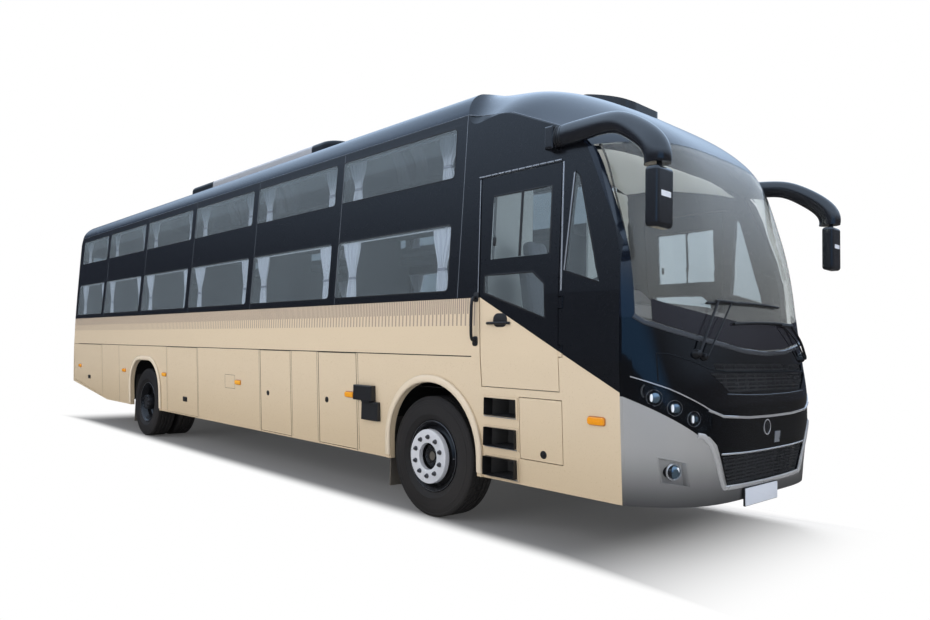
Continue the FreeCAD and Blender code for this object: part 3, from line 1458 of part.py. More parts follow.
def main():
    os.makedirs("parts", exist_ok=True)
    build_nose()
    build_grilles()
    build_roof()
    build_tail()
    build_doors()
    build_walls()
    build_flaps()
    build_panes()
    build_floor()
    build_steps()
    build_hold()
    build_frame()
    build_springs()
    build_front_axle()
    build_knuckles()
    build_tie_rod()
    build_rear_axle()
    build_wheels()
    build_drive()
    build_lamps()
    build_side_lamps()
    build_mirrors()
    build_roof_unit()
    build_roof_pod()
    build_side_box()
    build_wipers()
    build_mud_flaps()
    build_rear_lamps()
    build_inside()
    export_all()


main()
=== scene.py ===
import bpy
import json
import math
from mathutils import Matrix, Vector
from mathutils.bvhtree import BVHTree

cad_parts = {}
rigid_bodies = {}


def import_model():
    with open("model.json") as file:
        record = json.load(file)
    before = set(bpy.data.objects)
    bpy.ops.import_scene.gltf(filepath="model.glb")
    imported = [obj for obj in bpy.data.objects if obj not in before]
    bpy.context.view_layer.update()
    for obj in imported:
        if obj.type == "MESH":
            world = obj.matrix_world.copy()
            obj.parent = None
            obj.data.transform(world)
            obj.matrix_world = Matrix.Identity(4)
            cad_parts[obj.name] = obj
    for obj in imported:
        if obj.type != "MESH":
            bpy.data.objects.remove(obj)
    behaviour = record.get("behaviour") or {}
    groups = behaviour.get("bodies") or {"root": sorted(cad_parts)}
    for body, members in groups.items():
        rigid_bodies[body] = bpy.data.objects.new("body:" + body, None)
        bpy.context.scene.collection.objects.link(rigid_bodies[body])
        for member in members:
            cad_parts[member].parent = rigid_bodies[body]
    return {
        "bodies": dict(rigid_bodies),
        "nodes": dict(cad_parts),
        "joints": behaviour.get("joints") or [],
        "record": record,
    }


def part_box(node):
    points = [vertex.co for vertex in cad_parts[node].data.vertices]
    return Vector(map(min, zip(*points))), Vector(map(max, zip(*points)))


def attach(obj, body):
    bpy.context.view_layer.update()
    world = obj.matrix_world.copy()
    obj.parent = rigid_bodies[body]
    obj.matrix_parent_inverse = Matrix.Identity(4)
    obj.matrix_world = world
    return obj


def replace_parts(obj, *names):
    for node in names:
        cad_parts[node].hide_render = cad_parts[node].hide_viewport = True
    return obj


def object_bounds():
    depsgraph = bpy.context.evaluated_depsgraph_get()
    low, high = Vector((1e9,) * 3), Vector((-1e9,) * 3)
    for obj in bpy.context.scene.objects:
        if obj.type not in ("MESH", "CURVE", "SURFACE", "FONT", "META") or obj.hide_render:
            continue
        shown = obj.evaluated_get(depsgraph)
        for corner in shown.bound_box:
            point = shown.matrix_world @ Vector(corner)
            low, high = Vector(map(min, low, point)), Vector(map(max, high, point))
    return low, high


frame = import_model()
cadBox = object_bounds()
nodes = frame["nodes"]
bodyName = "body"
sides = ((-1, "right"), (1, "left"))
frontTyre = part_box("tyre_front_right")
axleX = (frontTyre[0][0] + frontTyre[1][0]) / 2
print("frame loaded, front axle at x =", round(axleX, 4))


def at(x, y, z):
    # millimetres from the ground under the front axle, to metres in the frame
    return Vector((axleX + x / 1000, y / 1000, z / 1000))


def between(first, second, share):
    return first + (second - first) * share


def plainMesh(name, points, faces):
    mesh = bpy.data.meshes.new(name)
    mesh.from_pydata([tuple(point) for point in points], [], faces)
    return mesh


def linked(name, data):
    thing = bpy.data.objects.new(name, data)
    bpy.context.collection.objects.link(thing)
    return thing


def evaluatedMesh(thing):
    # what a thing's modifiers make of it, as a mesh of its own
    bpy.context.view_layer.update()
    return bpy.data.meshes.new_from_object(thing.evaluated_get(bpy.context.evaluated_depsgraph_get()))


# Camera, floor and light
cameraLook = {"x": 4774.4, "y": -5357.1, "z": 1458.1, "yaw": 2.386, "pitch": 0.055, "roll": 0.023,
              "focalShare": 715.04 / 930}


def buildCamera():
    data = bpy.data.cameras.new("photoCamera")
    data.sensor_width = 36
    data.lens = 36 * cameraLook["focalShare"]
    data.clip_end = 200
    camera = linked("photoCamera", data)
    yaw, pitch, roll = cameraLook["yaw"], cameraLook["pitch"], cameraLook["roll"]
    forward = Vector((math.cos(pitch) * math.cos(yaw), math.cos(pitch) * math.sin(yaw), math.sin(pitch)))
    level = forward.cross(Vector((0, 0, 1))).normalized()
    rise = level.cross(forward)
    right = level * math.cos(roll) + rise * math.sin(roll)
    up = -level * math.sin(roll) + rise * math.cos(roll)
    turn = Matrix((right, up, -forward)).transposed()
    place = at(cameraLook["x"], cameraLook["y"], cameraLook["z"])
    camera.matrix_world = Matrix.Translation(place) @ turn.to_4x4()
    bpy.context.scene.camera = camera


stageLook = {"floorHalf": 60.0, "floorSeen": (0.30, 0.30, 0.305, 1), "floorColor": (0.62, 0.62, 0.62, 1),
             "floorMirrored": 0.045, "shadowLeast": 0.047, "bodyHalf": 1.30, "endFade": (-1.3, 0.30),
             "endShift": 0.20, "sideFade": (-0.14, 0.15), "skyColor": (0.86, 0.90, 0.97, 1),
             "skyStrength": 0.62, "mirroredSide": (0.030, 0.036, 0.052, 1),
             "mirroredFront": (0.070, 0.070, 0.074, 1), "mirroredBlue": (0.10, 0.24, 0.46, 1),
             "bluePlace": (0.727, -0.686, 0.0), "blueSpan": (0.86, 0.97), "frontSpan": (-0.2, 0.7),
             "mirroredHigh": (0.68, 0.88, 1.16, 1), "highSpan": (0.12, 0.55)}
white = (1, 1, 1, 1)
# Each lamp: name, place and aim in metres, watts and width
lamps = (("keyLight", (-1, 6, 16), (0, 0, 0), 8200, 7.0), ("sideFill", (4, -15, 7), (3, 0, 1.5), 575, 9.0),
         ("rearFill", (-8, -15, 7), (-5, 0, 1.5), 862.5, 9.0),
         ("noseFill", (18, -3, 5), (4, 0, 1.5), 1150 / 3, 9.0))
insideLook = {"x": -5150, "z": 2660, "y": 1.222, "power": 52, "size": (10.9, 1.5), "cabPower": 16,
              "cabSize": (1.9, 1.2)}


def putIn(tree, socket, value):
    # a plain value, or another node's output, into a socket
    if isinstance(value, bpy.types.NodeSocket):
        tree.links.new(value, socket)
    else:
        socket.default_value = value


def mathNode(tree, operation, *values):
    node = tree.nodes.new("ShaderNodeMath")
    node.operation = operation
    for socket, value in zip(node.inputs, values):
        putIn(tree, socket, value)
    return node.outputs[0]


def axesOf(tree, vector):
    split = tree.nodes.new("ShaderNodeSeparateXYZ")
    tree.links.new(vector, split.inputs[0])
    return split.outputs


def glow(tree, kind, color=white, strength=1.0):
    node = tree.nodes.new(kind)
    putIn(tree, node.inputs["Color"], color)
    node.inputs["Strength"].default_value = strength
    return node.outputs[0]


def chosen(tree, factor, plain, other):
    # the other shader where the factor is one
    mix = tree.nodes.new("ShaderNodeMixShader")
    tree.links.new(factor, mix.inputs[0])
    tree.links.new(plain, mix.inputs[1])
    tree.links.new(other, mix.inputs[2])
    return mix.outputs[0]


def buildSky():
    # soft sky light, white behind the bus, and a darker sky in reflections that brightens upwards
    look = stageLook
    world = bpy.data.worlds.new("studioSky")
    bpy.context.scene.world = world
    world.use_nodes = True
    tree = world.node_tree
    sky = tree.nodes["Background"]
    sky.inputs["Color"].default_value = look["skyColor"]
    sky.inputs["Strength"].default_value = look["skyStrength"]
    path = tree.nodes.new("ShaderNodeLightPath")
    way = objectPlace(tree)
    axes = axesOf(tree, way)
    height = rampNode(tree, axes["Z"], *look["highSpan"])
    ahead = rampNode(tree, axes["X"], *look["frontSpan"])
    low = mixColor(tree, ahead, look["mirroredSide"], look["mirroredFront"])
    toBlue = tree.nodes.new("ShaderNodeVectorMath")
    toBlue.operation = "DOT_PRODUCT"
    tree.links.new(way, toBlue.inputs[0])
    toBlue.inputs[1].default_value = look["bluePlace"]
    nearBlue = rampNode(tree, toBlue.outputs["Value"], *look["blueSpan"])
    low = mixColor(tree, nearBlue, low, look["mirroredBlue"])
    mirrored = glow(tree, "ShaderNodeBackground", mixColor(tree, height, low, look["mirroredHigh"]))
    seen = mathNode(tree, "MAXIMUM", path.outputs["Is Camera Ray"], path.outputs["Is Transmission Ray"])
    shader = chosen(tree, path.outputs["Is Glossy Ray"], sky.outputs[0], mirrored)
    shader = chosen(tree, seen, shader, glow(tree, "ShaderNodeBackground"))
    tree.links.new(shader, tree.nodes["World Output"].inputs[0])


def floorMaterial():
    # takes the bus's shadow near it, and is plain white further out and dim in reflections
    look = stageLook
    material, tree, shader = newMaterial("floorPale")
    shader.inputs["Base Color"].default_value = look["floorColor"]
    shader.inputs["Roughness"].default_value = 0.9
    shader.inputs["Specular IOR Level"].default_value = 0.0
    path = tree.nodes.new("ShaderNodeLightPath")
    plain = tree.nodes.new("ShaderNodeBsdfDiffuse")
    plain.inputs["Color"].default_value = look["floorSeen"]
    shadowed = tree.nodes.new("ShaderNodeAddShader")
    tree.links.new(plain.outputs[0], shadowed.inputs[0])
    tree.links.new(glow(tree, "ShaderNodeEmission", white, look["shadowLeast"]), shadowed.inputs[1])
    axes = axesOf(tree, objectPlace(tree))
    fades = []
    for axis, shift, half, span in (("X", look["endShift"], cadBox[1][0], look["endFade"]),
                                    ("Y", 0.0, look["bodyHalf"], look["sideFade"])):
        off = mathNode(tree, "ABSOLUTE", mathNode(tree, "SUBTRACT", axes[axis], shift))
        fades.append(rampNode(tree, mathNode(tree, "SUBTRACT", off, half), *span))
    away = mathNode(tree, "MAXIMUM", *fades)
    seen = chosen(tree, away, shadowed.outputs[0], glow(tree, "ShaderNodeEmission"))
    dim = glow(tree, "ShaderNodeEmission", white, look["floorMirrored"])
    mirrored = chosen(tree, path.outputs["Is Glossy Ray"], shader.outputs[0], dim)
    output = tree.nodes["Material Output"]
    tree.links.new(chosen(tree, path.outputs["Is Camera Ray"], mirrored, seen), output.inputs[0])
    return material


def buildStage():
    buildSky()
    half = stageLook["floorHalf"]
    corners = [(-half, -half, 0), (half, -half, 0), (half, half, 0), (-half, half, 0)]
    floor = linked("floor", plainMesh("floor", corners, [(0, 1, 2, 3)]))
    floor.data.materials.append(floorMaterial())
    for values in lamps:
        lamp(*values)
    # daylight that comes in through the side windows and the windscreen
    look = insideLook
    middle = at(look["x"], 0, look["z"])
    for side, hand in sides:
        place = (middle.x, side * look["y"], middle.z)
        lamp("windowLight" + hand.capitalize(), place, middle, look["power"], *look["size"])
    lamp("cabLight", at(1900, 0, 2250), at(300, 0, 2450), look["cabPower"], *look["cabSize"])


def lamp(name, place, aim, power, size, height=None):
    data = bpy.data.lights.new(name, "AREA")
    data.energy = power
    data.size = size
    if height:
        data.shape = "RECTANGLE"
        data.size_y = height
    light = linked(name, data)
    light.location = place
    light.rotation_euler = (Vector(aim) - Vector(place)).to_track_quat("-Z", "Y").to_euler()
    light.visible_camera = False
    light.visible_glossy = False
    light.visible_transmission = False


# Shared shader effects
def newMaterial(name):
    material = bpy.data.materials.new(name)
    material.use_nodes = True
    return material, material.node_tree, material.node_tree.nodes["Principled BSDF"]


def newGroup(name, inputs, outputs):
    group = bpy.data.node_groups.new(name, "ShaderNodeTree")
    for label, kind, value in inputs:
        socket = group.interface.new_socket(label, in_out="INPUT", socket_type=kind)
        if value is not None:
            socket.default_value = value
    for label, kind in outputs:
        group.interface.new_socket(label, in_out="OUTPUT", socket_type=kind)
    start = group.nodes.new("NodeGroupInput")
    end = group.nodes.new("NodeGroupOutput")
    return group, start, end


def noiseNode(tree, vector, scale, detail=3.0):
    noise = tree.nodes.new("ShaderNodeTexNoise")
    tree.links.new(vector, noise.inputs["Vector"])
    putIn(tree, noise.inputs["Scale"], scale)
    noise.inputs["Detail"].default_value = detail
    return noise.outputs[0]


def rampNode(tree, value, low, high):
    ramp = tree.nodes.new("ShaderNodeMapRange")
    ramp.interpolation_type = "SMOOTHSTEP"
    tree.links.new(value, ramp.inputs["Value"])
    ramp.inputs["From Min"].default_value = low
    ramp.inputs["From Max"].default_value = high
    return ramp.outputs["Result"]


def roadDustGroup():
    # dust that thins out with height, broken up by noise
    inputs = [("Vector", "NodeSocketVector", None), ("Top", "NodeSocketFloat", 1.2),
              ("Amount", "NodeSocketFloat", 0.3)]
    group, start, end = newGroup("roadDust", inputs, [("Mask", "NodeSocketFloat")])
    height = mathNode(group, "DIVIDE", axesOf(group, start.outputs["Vector"])["Z"], start.outputs["Top"])
    low = rampNode(group, height, 1.0, 0.2)
    cloud = noiseNode(group, start.outputs["Vector"], 1.1, 4.0)
    mask = mathNode(group, "MULTIPLY", mathNode(group, "MULTIPLY", low, cloud), start.outputs["Amount"])
    group.links.new(mask, end.inputs["Mask"])
    return group


def fineGrainGroup():
    # a small even relief with its own size, for moulded and cast skins
    group, start, end = newGroup("fineGrain", [("Vector", "NodeSocketVector", None),
                                               ("Scale", "NodeSocketFloat", 400.0)],
                                 [("Height", "NodeSocketFloat"), ("Mask", "NodeSocketFloat")])
    fine = noiseNode(group, start.outputs["Vector"], start.outputs["Scale"], 2.0)
    broad = noiseNode(group, start.outputs["Vector"], 0.9, 1.0)
    group.links.new(fine, end.inputs["Height"])
    group.links.new(rampNode(group, broad, 0.3, 0.7), end.inputs["Mask"])
    return group


roadDust = roadDustGroup()
fineGrain = fineGrainGroup()


def objectPlace(tree):
    return tree.nodes.new("ShaderNodeTexCoord").outputs["Object"]


def placeGroup(tree, group, vector, **values):
    node = tree.nodes.new("ShaderNodeGroup")
    node.node_tree = group
    tree.links.new(vector, node.inputs["Vector"])
    for label, value in values.items():
        node.inputs[label].default_value = value
    return node


def mixColor(tree, factor, first, second):
    mix = tree.nodes.new("ShaderNodeMix")
    mix.data_type = "RGBA"
    tree.links.new(factor, mix.inputs[0])
    putIn(tree, mix.inputs[6], first)
    putIn(tree, mix.inputs[7], second)
    return mix.outputs[2]


def bumpFrom(tree, shader, height, strength, distance):
    bump = tree.nodes.new("ShaderNodeBump")
    bump.inputs["Strength"].default_value = strength
    bump.inputs["Distance"].default_value = distance
    tree.links.new(height, bump.inputs["Height"])
    tree.links.new(bump.outputs[0], shader.inputs["Normal"])


def spreadRough(tree, shader, mask, rough, spread):
    # a roughness that wanders a little with a mask
    ramp = tree.nodes.new("ShaderNodeMapRange")
    tree.links.new(mask, ramp.inputs["Value"])
    ramp.inputs["To Min"].default_value = max(rough - spread, 0.02)
    ramp.inputs["To Max"].default_value = rough + spread
    tree.links.new(ramp.outputs["Result"], shader.inputs["Roughness"])


def paint(color, second, rough, **more):
    # the values of one finish: two colours that mix in broad patches, roughness, and what else it has
    return {"color": color + (1,), "second": second + (1,), "rough": rough, "spread": 0.08, "metal": 0.0,
            "coat": 0.0, "specular": 0.5, "alpha": 1.0, "grainScale": 300.0, "bump": 0.0, "dust": 0.0,
            "dustTop": 1.1, **more}


def finish(name, look):
    material, tree, shader = newMaterial(name)
    vector = objectPlace(tree)
    grain = placeGroup(tree, fineGrain, vector, Scale=look["grainScale"])
    color = mixColor(tree, grain.outputs["Mask"], look["color"], look["second"])
    if look["dust"]:
        dust = placeGroup(tree, roadDust, vector, Top=look["dustTop"], Amount=look["dust"])
        color = mixColor(tree, dust.outputs["Mask"], color, dustColor)
    if "low" in look:
        height = rampNode(tree, axesOf(tree, vector)["Z"], *look["lowSpan"])
        color = mixColor(tree, height, look["low"], color)
    if "ends" in look:
        x = axesOf(tree, vector)["X"]
        rear, front = [at(end, 0, 0).x for end in look["ends"]]
        outside = mathNode(tree, "MAXIMUM", mathNode(tree, "LESS_THAN", x, rear),
                           mathNode(tree, "GREATER_THAN", x, front))
        color = mixColor(tree, outside, color, look["endColor"])
    tree.links.new(color, shader.inputs["Base Color"])
    spreadRough(tree, shader, grain.outputs["Mask"], look["rough"], look["spread"])
    for label, key in (("Metallic", "metal"), ("Coat Weight", "coat"), ("Specular IOR Level", "specular"),
                       ("Alpha", "alpha")):
        shader.inputs[label].default_value = look[key]
    shader.inputs["Coat Roughness"].default_value = 0.03
    if look["bump"]:
        bumpFrom(tree, shader, grain.outputs["Height"], look["bump"], 0.001)
    return material


dustColor = (0.36, 0.31, 0.25, 1)
# The low beige is darker than the beige above it: painted shade towards the bottom.
bodyLook = {"beige": (0.655, 0.535, 0.385, 1), "beigeShadedLow": (0.62, 0.49, 0.330, 1), "lowSpan": (0.4, 1.2),
            "black": (0.006, 0.007, 0.010, 1), "stroke": (0.33, 0.265, 0.22, 1), "beltZ": 1.881,
            "strokeZ": 1.752, "strokeFootZ": 1.653, "strokePitch": 0.052, "fineShare": 0.62,
            "footShare": 0.33, "strokeEndX": 0.600, "slope": -0.5145, "slopeStartX": 0.644, "rough": 0.28}


def bodyPaintMaterial():
    # beige below and black above, with the fine upright strokes under the windows
    look = bodyLook
    material, tree, shader = newMaterial("bodyPaint")
    vector = objectPlace(tree)
    axes = axesOf(tree, vector)
    x = mathNode(tree, "SUBTRACT", axes["X"], axleX)
    z = axes["Z"]
    run = mathNode(tree, "SUBTRACT", x, look["slopeStartX"])
    slanted = mathNode(tree, "ADD", mathNode(tree, "MULTIPLY", run, look["slope"]), look["beltZ"])
    black = mathNode(tree, "GREATER_THAN", z, mathNode(tree, "MINIMUM", slanted, look["beltZ"]))
    strokes = []
    for foot, pitch, share in ((look["strokeZ"], look["strokePitch"] / 2, look["fineShare"]),
                               (look["strokeFootZ"], look["strokePitch"], look["footShare"])):
        along = mathNode(tree, "FRACT", mathNode(tree, "DIVIDE", x, pitch))
        above = mathNode(tree, "GREATER_THAN", z, foot)
        strokes.append(mathNode(tree, "MULTIPLY", above, mathNode(tree, "LESS_THAN", along, share)))
    stroke = mathNode(tree, "MAXIMUM", *strokes)
    stroke = mathNode(tree, "MULTIPLY", stroke, mathNode(tree, "LESS_THAN", x, look["strokeEndX"]))
    # the beige darkening towards the bottom is painted shade
    beige = mixColor(tree, rampNode(tree, z, *look["lowSpan"]), look["beigeShadedLow"], look["beige"])
    dust = placeGroup(tree, roadDust, vector, Top=0.9, Amount=0.10)
    beige = mixColor(tree, dust.outputs["Mask"], beige, dustColor)
    color = mixColor(tree, black, mixColor(tree, stroke, beige, look["stroke"]), look["black"])
    tree.links.new(color, shader.inputs["Base Color"])
    grain = placeGroup(tree, fineGrain, vector, Scale=90.0)
    spreadRough(tree, shader, grain.outputs["Height"], look["rough"], 0.02)
    shader.inputs["Coat Weight"].default_value = 0.35
    shader.inputs["Coat Roughness"].default_value = 0.08
    bumpFrom(tree, shader, grain.outputs["Height"], 0.03, 0.0005)
    return material


def glassMaterial(name, color, clear, rough=0.02):
    material, tree, shader = newMaterial(name)
    vector = objectPlace(tree)
    grain = placeGroup(tree, fineGrain, vector, Scale=3.0)
    second = tuple(channel * 0.93 for channel in color[:3]) + (1,)
    tree.links.new(mixColor(tree, grain.outputs["Mask"], color, second), shader.inputs["Base Color"])
    shader.inputs["Roughness"].default_value = rough
    shader.inputs["Transmission Weight"].default_value = clear
    shader.inputs["IOR"].default_value = 1.45
    return material


finishes = {
    "roofPaint": paint((0.016, 0.024, 0.04), (0.02, 0.03, 0.048), 0.18, coat=0.8, bump=0.02,
                       grainScale=60.0),
    "noseBlack": paint((0.002, 0.0025, 0.004), (0.003, 0.004, 0.006), 0.12, coat=1.0, bump=0.01,
                       grainScale=60.0, spread=0.04),
    "capBlack": paint((0.006, 0.009, 0.017), (0.008, 0.012, 0.022), 0.15, coat=1.0, bump=0.01,
                      grainScale=60.0, spread=0.04),
    "bumperSilver": paint((0.49, 0.49, 0.49), (0.44, 0.44, 0.445), 0.38, metal=0.35, coat=0.4,
                          low=(0.055, 0.055, 0.058, 1), lowSpan=(0.34, 0.86), bump=0.02, grainScale=700.0),
    "rimPaint": paint((0.006, 0.007, 0.01), (0.01, 0.011, 0.014), 0.3, dust=0.05, bump=0.04,
                      grainScale=500.0),
    "nutRing": paint((0.78, 0.79, 0.83), (0.66, 0.68, 0.73), 0.34, metal=0.25, bump=0.1, grainScale=700.0),
    "rimEdge": paint((0.34, 0.35, 0.37), (0.2, 0.21, 0.23), 0.35, metal=0.8),
    # the arch lip's beige is paler than the body paint: a painted highlight, with real dust
    "archLipPaleHighlight": paint((0.74, 0.63, 0.485), (0.7, 0.59, 0.45), 0.3, coat=0.4, dust=0.08),
    "seamBlack": paint((0.0015, 0.0015, 0.002), (0.003, 0.003, 0.004), 0.6),
    "lampCover": paint((0.006, 0.008, 0.012), (0.01, 0.012, 0.016), 0.04, spread=0.01, coat=1.0, alpha=0.34),
    # the cowl moulding is a paler grey than the gloss black trim: a painted highlight
    "cowlPaleHighlightTrim": paint((0.045, 0.05, 0.06), (0.06, 0.066, 0.078), 0.2, coat=1.0, spread=0.04),
    "pocketBlack": paint((0.006, 0.006, 0.007), (0.016, 0.015, 0.015), 0.55, bump=0.1),
    "hubBlack": paint((0.014, 0.015, 0.018), (0.05, 0.05, 0.055), 0.35, bump=0.2, grainScale=120.0),
    "bumperEdge": paint((0.62, 0.62, 0.63), (0.52, 0.52, 0.54), 0.3, metal=0.4, coat=0.5),
    "screenBlack": paint((0.02, 0.02, 0.026), (0.026, 0.026, 0.033), 0.12, coat=0.5),
    "netBlack": paint((0.004, 0.004, 0.005), (0.008, 0.008, 0.009), 0.8),
    "lampLens": paint((0.1, 0.16, 0.22), (0.3, 0.42, 0.52), 0.06, metal=0.7, coat=1.0, grainScale=40.0),
    # white pads on the lamp lenses: painted highlights
    "lampHighlightWhite": paint((0.88, 0.92, 0.98), (0.78, 0.84, 0.92), 0.12, coat=1.0),
    "markerGrey": paint((0.22, 0.24, 0.26), (0.3, 0.32, 0.34), 0.25, coat=0.6),
    "plateWhite": paint((0.68, 0.72, 0.8), (0.63, 0.67, 0.76), 0.45, bump=0.04),
    "mirrorSilver": paint((0.8, 0.84, 0.88), (0.76, 0.8, 0.85), 0.03, spread=0.01, metal=1.0),
    "edgePale": paint((0.42, 0.45, 0.5), (0.3, 0.33, 0.38), 0.28, metal=0.6),
    "amberDeep": paint((0.5, 0.17, 0.03), (0.42, 0.14, 0.03), 0.35),
    "linerBlack": paint((0.006, 0.006, 0.006), (0.012, 0.011, 0.01), 0.85, bump=0.1, grainScale=300.0),
    "liningPale": paint((0.84, 0.86, 0.83), (0.76, 0.78, 0.75), 0.8, bump=0.05),
    "railGrey": paint((0.8, 0.8, 0.84), (0.72, 0.72, 0.77), 0.4),
    "curtainTie": paint((0.4, 0.39, 0.46), (0.34, 0.33, 0.4), 0.8, bump=0.1),
    "nutSteel": paint((0.1, 0.1, 0.11), (0.16, 0.15, 0.15), 0.42, metal=0.8),
    "tyreRubber": paint((0.013, 0.0125, 0.014), (0.021, 0.02, 0.021), 0.66, dust=0.07, dustTop=1.3,
                        bump=0.12, grainScale=260.0, specular=0.25),
    "blackTrim": paint((0.012, 0.012, 0.014), (0.02, 0.02, 0.022), 0.42, bump=0.08, grainScale=900.0),
    "glossTrim": paint((0.01, 0.011, 0.014), (0.014, 0.015, 0.019), 0.12, coat=1.0, spread=0.03),
    "seamDark": paint((0.008, 0.007, 0.006), (0.014, 0.012, 0.01), 0.7),
    "seamPale": paint((0.2, 0.22, 0.25), (0.15, 0.17, 0.2), 0.35, metal=0.5),
    "brightTrim": paint((0.74, 0.75, 0.78), (0.62, 0.63, 0.66), 0.14, metal=0.6, coat=0.5),
    "frameBlack": paint((0.016, 0.016, 0.017), (0.05, 0.045, 0.04), 0.65, dust=0.5, bump=0.15,
                        grainScale=180.0),
    "axleIron": paint((0.03, 0.029, 0.028), (0.065, 0.055, 0.045), 0.68, dust=0.5, bump=0.3,
                      grainScale=120.0),
    "mudRubber": paint((0.018, 0.018, 0.018), (0.03, 0.028, 0.026), 0.75, dust=0.6, bump=0.1,
                       grainScale=400.0),
    "amberLens": paint((0.85, 0.32, 0.015), (0.92, 0.42, 0.03), 0.18, coat=1.0),
    "redLens": paint((0.42, 0.006, 0.006), (0.5, 0.01, 0.008), 0.18, coat=1.0),
    "floorCover": paint((0.1, 0.1, 0.105), (0.14, 0.135, 0.13), 0.6, bump=0.25, grainScale=240.0),
    "berthTrim": paint((0.05, 0.054, 0.062), (0.07, 0.074, 0.082), 0.5, bump=0.1),
    "dashPlastic": paint((0.035, 0.036, 0.04), (0.05, 0.05, 0.054), 0.55, bump=0.2, grainScale=700.0),
    "seatCloth": paint((0.1, 0.11, 0.14), (0.15, 0.16, 0.19), 0.9, bump=0.35, grainScale=900.0),
    "sheetMetal": paint((0.3, 0.3, 0.31), (0.24, 0.24, 0.25), 0.42, metal=0.8, bump=0.05),
    "unitSilver": paint((0.52, 0.53, 0.56), (0.45, 0.46, 0.49), 0.35, metal=0.3, bump=0.03,
                        ends=(-5900, -3020), endColor=(0.012, 0.014, 0.018, 1)),
    "meshBlack": paint((0.075, 0.078, 0.086), (0.1, 0.104, 0.112), 0.35, metal=0.4),
    "bowlDark": paint((0.01, 0.011, 0.013), (0.015, 0.016, 0.02), 0.25, coat=0.6),
}
materials = {name: finish(name, look) for name, look in finishes.items()}
materials["bodyPaint"] = bodyPaintMaterial()
materials["sideGlass"] = glassMaterial("sideGlass", (0.42, 0.50, 0.56, 1), 0.88)
materials["screenGlass"] = glassMaterial("screenGlass", (0.93, 0.97, 0.97, 1), 0.96)
print("materials made:", len(materials))


def clothMaterial():
    # a thin woven curtain cloth, with threads on its own UV map
    material, tree, shader = newMaterial("curtainCloth")
    uv = tree.nodes.new("ShaderNodeUVMap")
    uv.uv_map = "cloth"
    axes = axesOf(tree, uv.outputs[0])
    threads = []
    for axis in ("X", "Y"):
        wave = mathNode(tree, "SINE", mathNode(tree, "MULTIPLY", axes[axis], clothLook["threads"]))
        threads.append(mathNode(tree, "ABSOLUTE", wave))
    weave = mathNode(tree, "MULTIPLY", *threads)
    color = mixColor(tree, weave, clothLook["color"], clothLook["shadow"])
    tree.links.new(color, shader.inputs["Base Color"])
    shader.inputs["Roughness"].default_value = 0.85
    shader.inputs["Sheen Weight"].default_value = 0.3
    shader.inputs["Transmission Weight"].default_value = 0.0
    bumpFrom(tree, shader, weave, 0.3, 0.0004)
    return material


clothLook = {"color": (0.93, 0.92, 0.98, 1), "shadow": (0.80, 0.80, 0.88, 1), "threads": 2600.0}
materials["curtainCloth"] = clothMaterial()

finishNodes = {
    "axleIron": "drive_shaft engine front_axle knuckle_left knuckle_right rear_axle tie_rod",
    "berthTrim": "berths", "floorCover": "cabin_floor entry_steps",
    "frameBlack": "chassis_frame leaf_springs",
    "dashPlastic": "dashboard steering_wheel", "seatCloth": "driver_seat", "bumperSilver": "front_bumper",
    "sideGlass": "driver_door_glass passenger_door_glass window_panes", "screenGlass": "windscreen",
    "capBlack": "front_cap", "meshBlack": "front_grilles", "noseBlack": "front_mask", "bowlDark": "headlamps",
    "sheetMetal": "luggage_hold", "glossTrim": "mirrors roof_pod", "mudRubber": "mud_flaps",
    "redLens": "rear_lamps", "roofPaint": "roof", "unitSilver": "roof_unit", "amberLens": "side_lamps",
    "blackTrim": "wipers side_box", "curtainCloth": "curtains",
    "rimPaint": "rim_front_left rim_front_right rims_rear_left rims_rear_right",
    "tyreRubber": "tyre_front_left tyre_front_right tyres_rear_left tyres_rear_right",
}
nodeFinish = {name: finishName for finishName, names in finishNodes.items() for name in names.split()}
for name, node in nodes.items():
    material = materials[nodeFinish.get(name, "bodyPaint")]
    if not node.material_slots:
        node.data.materials.append(material)
    for slot in node.material_slots:
        slot.material = material

bpy.context.scene.view_settings.view_transform = "Standard"
buildCamera()
buildStage()


# Pieces: meshes on the CAD surfaces
def treeOf(*names):
    points = []
    faces = []
    for name in names:
        mesh = nodes[name].data
        start = len(points)
        points += [vertex.co.copy() for vertex in mesh.vertices]
        faces += [[start + index for index in polygon.vertices] for polygon in mesh.polygons]
    return BVHTree.FromPolygons(points, faces)


def sideTree(hand, door, *others):
    flaps = ["flap_" + hand + "_" + str(bay) for bay in flapBays]
    return treeOf("side_wall_" + hand, door, "window_panes", door + "_glass", "front_bumper", "front_cap",
                  *flaps, *others)


flapBays = (1, 2, 3, 4)
noseTree = treeOf("front_cap", "front_mask", "front_bumper", "windscreen", "headlamps", "front_grilles")
sideTrees = {-1: sideTree("right", "driver_door", "hatch_right"), 1: sideTree("left", "passenger_door")}


def noseHit(y, z):
    # the nose skin seen from the front, at y and z in millimetres
    place, normal, index, distance = noseTree.ray_cast(at(4000, y, z), Vector((-1, 0, 0)))
    return place, normal


def sideHit(side, x, z):
    place, normal, index, distance = sideTrees[side].ray_cast(at(x, side * 3000, z), Vector((0, -side, 0)))
    return place, normal


def insideBox(point):
    # no piece stands out of the CAD box at the ends of the bus
    return (min(max(point[0], cadBox[0][0]), cadBox[1][0]), point[1], point[2])


def piece(name, points, faces, material, body=bodyName):
    mesh = plainMesh(name, [insideBox(point) for point in points], faces)
    mesh.materials.append(materials[material])
    mesh.shade_smooth()
    mesh.set_sharp_from_angle(angle=math.radians(35))
    thing = linked(name, mesh)
    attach(thing, body)
    return thing


